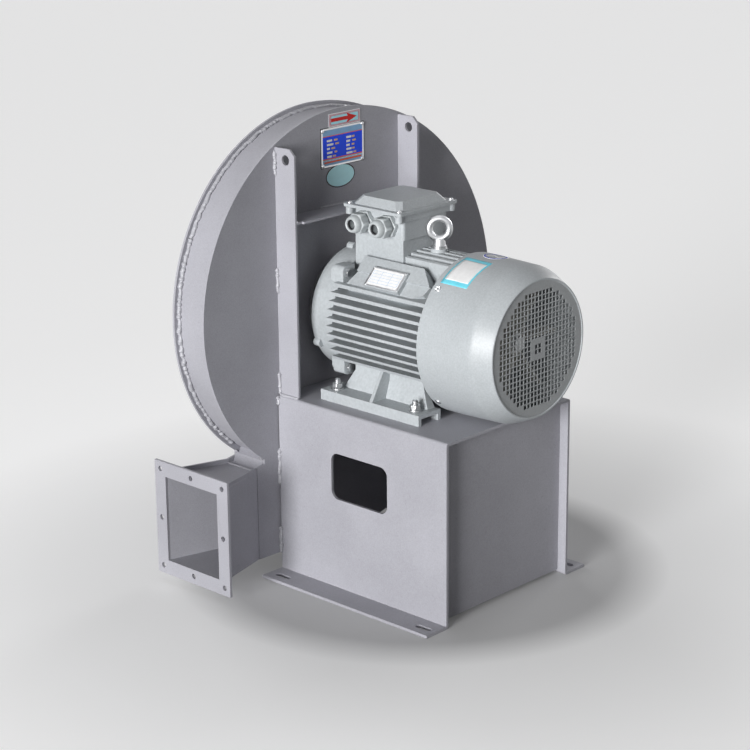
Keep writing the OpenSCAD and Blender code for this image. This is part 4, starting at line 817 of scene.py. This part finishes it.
outline([(GRILLE_R * math.cos(t), GRILLE_R * math.sin(t)) for t in turns(120)])
h = HOLE / 2
for i in range(-HOLES_OUT, HOLES_OUT):
    for j in range(-HOLES_OUT, HOLES_OUT):
        x, z = (i + 0.5) * PITCH, (j + 0.5) * PITCH
        in_reach = math.hypot(abs(x) + h, abs(z) + h) <= REACH
        if in_reach and not FIELD_IN < max(abs(x), abs(z)) < FIELD_OUT:
            outline([(x - h, z - h), (x - h, z + h), (x + h, z + h), (x + h, z - h)])
o = bpy.data.objects.new("grille_curve", cu)
me = bpy.data.meshes.new_from_object(o)
bpy.data.objects.remove(o)
me.transform(Matrix.Translation(P(0, GRILLE_Y, AXIS_Z))
             @ Matrix.Rotation(math.radians(90), 4, "X"))
me.name = "punched_grille"
me.materials.clear()
me.materials.append(m_grille)
o = bpy.data.objects.new("punched_grille", me)
bpy.context.scene.collection.objects.link(o)
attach(o, "blower")
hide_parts("cowl_grille")


# ---------------------------------------------------------------- cable glands
# Seats of the two glands on the left face of the box, seats of their caps, and their flats
GLAND_X, CAP_X, GLAND_Z = -65.0, -78.0, BOX_Z + 26
GLAND_YS = [BOX_Y + s * 31 for s in SIDES]
BODY_FLAT, CAP_FLAT = 41, 38.5
BODY_SEAL = [(15, -0.2), (19.6, -0.2), (20.6, 0.3), (20.6, 1.4), (19.6, 2.0), (15, 2.0)]
# Cap profile: grip with a chamfer, neck, domed nose, and the inside of the mouth
CAP = [(10.4, 0.3), (18.4, 0.3), (19.2, 0.6), (22.2, 2.2), (22.2, 16.5), (20.5, 18.4),
       (19.25, 19.2), (18.2, 20.2), (18.0, 23.0), (17.6, 26.2), (16.8, 29.2), (15.6, 31.6),
       (14.2, 33.3), (12.9, 34.0), (11.6, 33.6), (10.6, 32.4), (10.2, 30.6), (10.1, 20.0)]
MOUTH_SEAL = [(10.3, 26.0), (10.3, 31.4), (9.6, 31.0), (9.2, 30.0), (9.0, 26.0)]
bm = bmesh.new()
seals = bmesh.new()
for y in GLAND_YS:
    c = P(GLAND_X, y, GLAND_Z)
    nut(bm, c, LEFT, BODY_FLAT, high=10.0, turn=0.1)
    lathe(bm, c, LEFT, [(15.8, -11), (15.8, 13.2)], n=40)
    lathe(seals, c, LEFT, BODY_SEAL, n=40)
o = put("gland_body_hexes", bm, m_gland, split=35)
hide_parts("gland_bodies")
bm = bmesh.new()
for y in GLAND_YS:
    c = P(CAP_X, y, GLAND_Z)
    ring_profile(bm, c, LEFT, CAP, n=60, flat=CAP_FLAT)
    ring_profile(seals, c, LEFT, MOUTH_SEAL, n=40)
o = put("gland_cap_noses", bm, m_gland, split=35)
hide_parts("gland_caps")
put("gland_seals", seals, m_seal)


# ---------------------------------------------------------------- plates and films
PLATE_Y = -0.15


def on_plate(x, z, lift=0.0):
    """Point on the motor side plate of the casing, lifted by lift mm."""
    return P(x, PLATE_Y - lift, z)


def quad(x0, x1, z0, z1, lift):
    return [on_plate(x0, z0, lift), on_plate(x1, z0, lift),
            on_plate(x1, z1, lift), on_plate(x0, z1, lift)]


def film(name, quads, mat, thick, normal=NEAR, round_mm=0.0):
    bm = bmesh.new()
    for q in quads:
        plate(bm, q, normal, thick, round_mm)
    return put(name, bm, mat, smooth=False)


def rivets(name, centres, axis, profile, n):
    bm = bmesh.new()
    for c in centres:
        lathe(bm, c, axis, profile, n=n)
    put(name, bm, m_zinc)


# Plain arrow plate for the turning sense
film("arrow_plate", [quad(-29.5, 61.5, 905.5, 932.5, 0)], m_alu, 0.8)
film("arrow_field", [quad(-28.4, 60.4, 906.6, 931.4, 0.85)], m_steelblue, 0.12)
film("arrow_glow", [quad(-22, 55, 910.5, 927.5, 1.0)], m_pale, 0.06)
LINE, RIM_LIFT = 0.9, 1.1
rims = []
for g in (0.0, 2.6):
    x0, x1, z0, z1 = -27.6 + g, 59.6 - g, 907.4 + g * 0.8, 930.6 - g * 0.8
    rims += [quad(x0, x1, z1 - LINE, z1, RIM_LIFT), quad(x0, x1, z0, z0 + LINE, RIM_LIFT),
             quad(x0, x0 + LINE, z0 + LINE, z1 - LINE, RIM_LIFT),
             quad(x1 - LINE, x1, z0 + LINE, z1 - LINE, RIM_LIFT)]
film("arrow_border", rims, m_rim, 0.1)
ARROW = ((-23, 915.6), (25, 915.6), (21, 909.0), (51, 919.2), (21, 929.4), (25, 922.8),
         (-23, 922.8))
film("arrow_mark", [[on_plate(x, z, 1.2) for x, z in ARROW]], m_red, 0.15)

# Data plate with bare fields, on a dark film whose edge round the plate is a painted shadow
FIELD_X0, FIELD_X1 = -47.5, 66.5
SHEET_LIFT, PRINT_LIFT = 1.25, 1.4
# Painted shadow: a dark film, 1.6 mm wider than the plate on each side, stands for the shade
# round its edge.
film("data_plate_painted_shadow_rim", [quad(-53.6, 72.6, 824.0, 906.0, 0)], m_black, 0.3, round_mm=2.0)
film("data_plate", [quad(-52, 71, 825.5, 904.5, 0.3)], m_alu, 0.9, round_mm=2.0)
film("data_plate_band", [quad(FIELD_X0, FIELD_X1, 889, 901, SHEET_LIFT),
                         quad(FIELD_X0, FIELD_X1, 829, 841, SHEET_LIFT)], m_band, 0.12)
film("data_plate_field", [quad(FIELD_X0, FIELD_X1, 843, 887.4, SHEET_LIFT)], m_blue, 0.12)
film("data_plate_lines", [quad(FIELD_X0, FIELD_X1, 887.4, 889, SHEET_LIFT),
                          quad(FIELD_X0, FIELD_X1, 841, 843, SHEET_LIFT),
                          quad(-44, 63, 833.6, 836.8, PRINT_LIFT)], m_orange, 0.12)
film("data_plate_dots", [quad(-44 + 4.2 * k, -41.6 + 4.2 * k, 838.2, 839.8, PRINT_LIFT)
                         for k in range(26)], m_cream, 0.08)
CELL_TOP, CELL_PITCH = 881.6, 8.1
cells, tags = [], []
rnd = random.Random(5)
for col in (-36.0, 20.0):
    for row in range(5):
        z = CELL_TOP - row * CELL_PITCH
        w = rnd.uniform(8.0, 19.0)
        tag = col + w + rnd.uniform(1.5, 7.0)
        cells.append(quad(col, col + w, z - 4.6, z - 0.4, PRINT_LIFT))
        tags.append(quad(tag, tag + rnd.uniform(7.0, 11.0), z - 4.4, z - 0.8, PRINT_LIFT))
film("data_plate_cells", cells, m_cream, 0.08)
film("data_plate_tags", tags, m_tan, 0.08)
rivets("data_plate_rivets", [on_plate(x, z, 1.1) for z in (829.5, 900.5) for x in (-48.0, 67.0)],
       NEAR, [(4.0, 0), (4.0, 0.5), (3.6, 1.4), (2.4, 2.2), (1.0, 2.6)], 24)

# Oval film with a dark edge
OVAL_X, OVAL_Z = 3, 803.4
for name, rx, rz, thick, mat in (("oval_edge", 42.0, 24.3, 0.3, m_dark),
                                 ("oval_film", 39.6, 22.0, 0.45, m_oval)):
    film(name, [[on_plate(OVAL_X + rx * math.cos(t), OVAL_Z + rz * math.sin(t))
                 for t in turns(64)]], mat, thick)

FILM_CONE_Y, FILM_CONE_LONG = -381, 102.0


def cowl_r(y):
    """Radius of the cowl at a station: a cylinder, then a slight cone to the crease."""
    along = max(0.0, FILM_CONE_Y - y)
    return COWL_R - (COWL_R - CONE_R) * along / FILM_CONE_LONG


def cowl_film(name, a0, a1, y0, y1, lift, mat, thick):
    """Film bent on the cowl between two angles in degrees and two stations."""
    na, ny = 26, 8
    bm = bmesh.new()
    ys = [y0 + (y1 - y0) * j / ny for j in range(ny + 1)]
    top, low = [], []
    for i in range(na + 1):
        a = a0 + (a1 - a0) * i / na
        top.append([bm.verts.new(around(cowl_r(y) + lift + thick, a, y)) for y in ys])
        low.append([bm.verts.new(around(cowl_r(y) + lift, a, y)) for y in ys])
    for i in range(na):
        for j in range(ny):
            bm.faces.new((top[i][j], top[i + 1][j], top[i + 1][j + 1], top[i][j + 1]))
            bm.faces.new((low[i][j], low[i][j + 1], low[i + 1][j + 1], low[i + 1][j]))
        for j in (0, ny):
            bm.faces.new((top[i][j], top[i + 1][j], low[i + 1][j], low[i][j]))
    for j in range(ny):
        for i in (0, na):
            bm.faces.new((top[i][j], top[i][j + 1], low[i][j + 1], low[i][j]))
    put(name, bm, mat)


def cowl_disc(name, deg, y, r0, r1, lift, mat):
    """Round film or ring on the cowl."""
    thick = 0.15
    bm = bmesh.new()
    rows = []
    for r, dz in ((r0, 0.0), (r0, thick), (r1, thick), (r1, 0.0), (r0, 0.0)):
        row = []
        for t in turns(48):
            yy = y + r * math.cos(t)
            a = deg + math.degrees(r * math.sin(t) / COWL_R)
            row.append(around(cowl_r(yy) + lift + dz, a, yy))
        rows.append(row)
    grid(bm, rows, cap=False)
    close_up(bm, 1e-8)
    put(name, bm, mat)


cowl_film("cowl_film_border", 50.3, 81.4, -429, -364, 0.05, m_cyan, 0.2)
cowl_film("cowl_film_field", 54.2, 77.2, -425, -368, 0.28, m_white, 0.1)
DISC_DEG, DISC_Y = 96.5, -401
cowl_disc("cowl_disc_field", DISC_DEG, DISC_Y, 0.2, 25.0, 0.05, m_white)
cowl_disc("cowl_disc_ring", DISC_DEG, DISC_Y, 19.5, 23.5, 0.24, m_navy)

# Rating plate on the sloping pad of the motor frame, with bare cells
SLOPE = (-1, 0, 1)
PAD = 148.0
SHEET, PRINT = PAD + 0.84, PAD + 0.96


def on_slope(s, y, d):
    """Point over the left shoulder of the motor frame: s up the slope, d from the axis."""
    k = math.sqrt(0.5)
    return P((s - d) * k, y, AXIS_Z + (s + d) * k)


def slope_quad(s0, s1, y0, y1, d):
    return [on_slope(s0, y0, d), on_slope(s1, y0, d), on_slope(s1, y1, d), on_slope(s0, y1, d)]


film("motor_plate", [slope_quad(-21, 22, -267, -180, PAD + 0.02)], m_alu, 0.8, SLOPE, 1.5)
film("motor_plate_field", [slope_quad(-18.5, 19.5, -263, -184, SHEET)], m_white, 0.1, SLOPE, 1.0)
ROW_TOP, ROW_PITCH = 13.9, 6.6
lines = [slope_quad(ROW_TOP - 0.4 - k * ROW_PITCH, ROW_TOP - k * ROW_PITCH, -260, -187, PRINT)
         for k in range(5)]
lines += [slope_quad(-12.9, ROW_TOP, y - 0.25, y + 0.25, PRINT) for y in (-187, -210, -236, -260)]
film("motor_plate_lines", lines, m_band, 0.05, SLOPE)
rivets("motor_plate_rivets",
       [on_slope(s, y, PAD + 0.8) for s in (-18.6, 19.6) for y in (-264.2, -182.8)],
       SLOPE, [(2.2, 0), (2.2, 0.4), (1.7, 1.0), (0.8, 1.3)], 20)
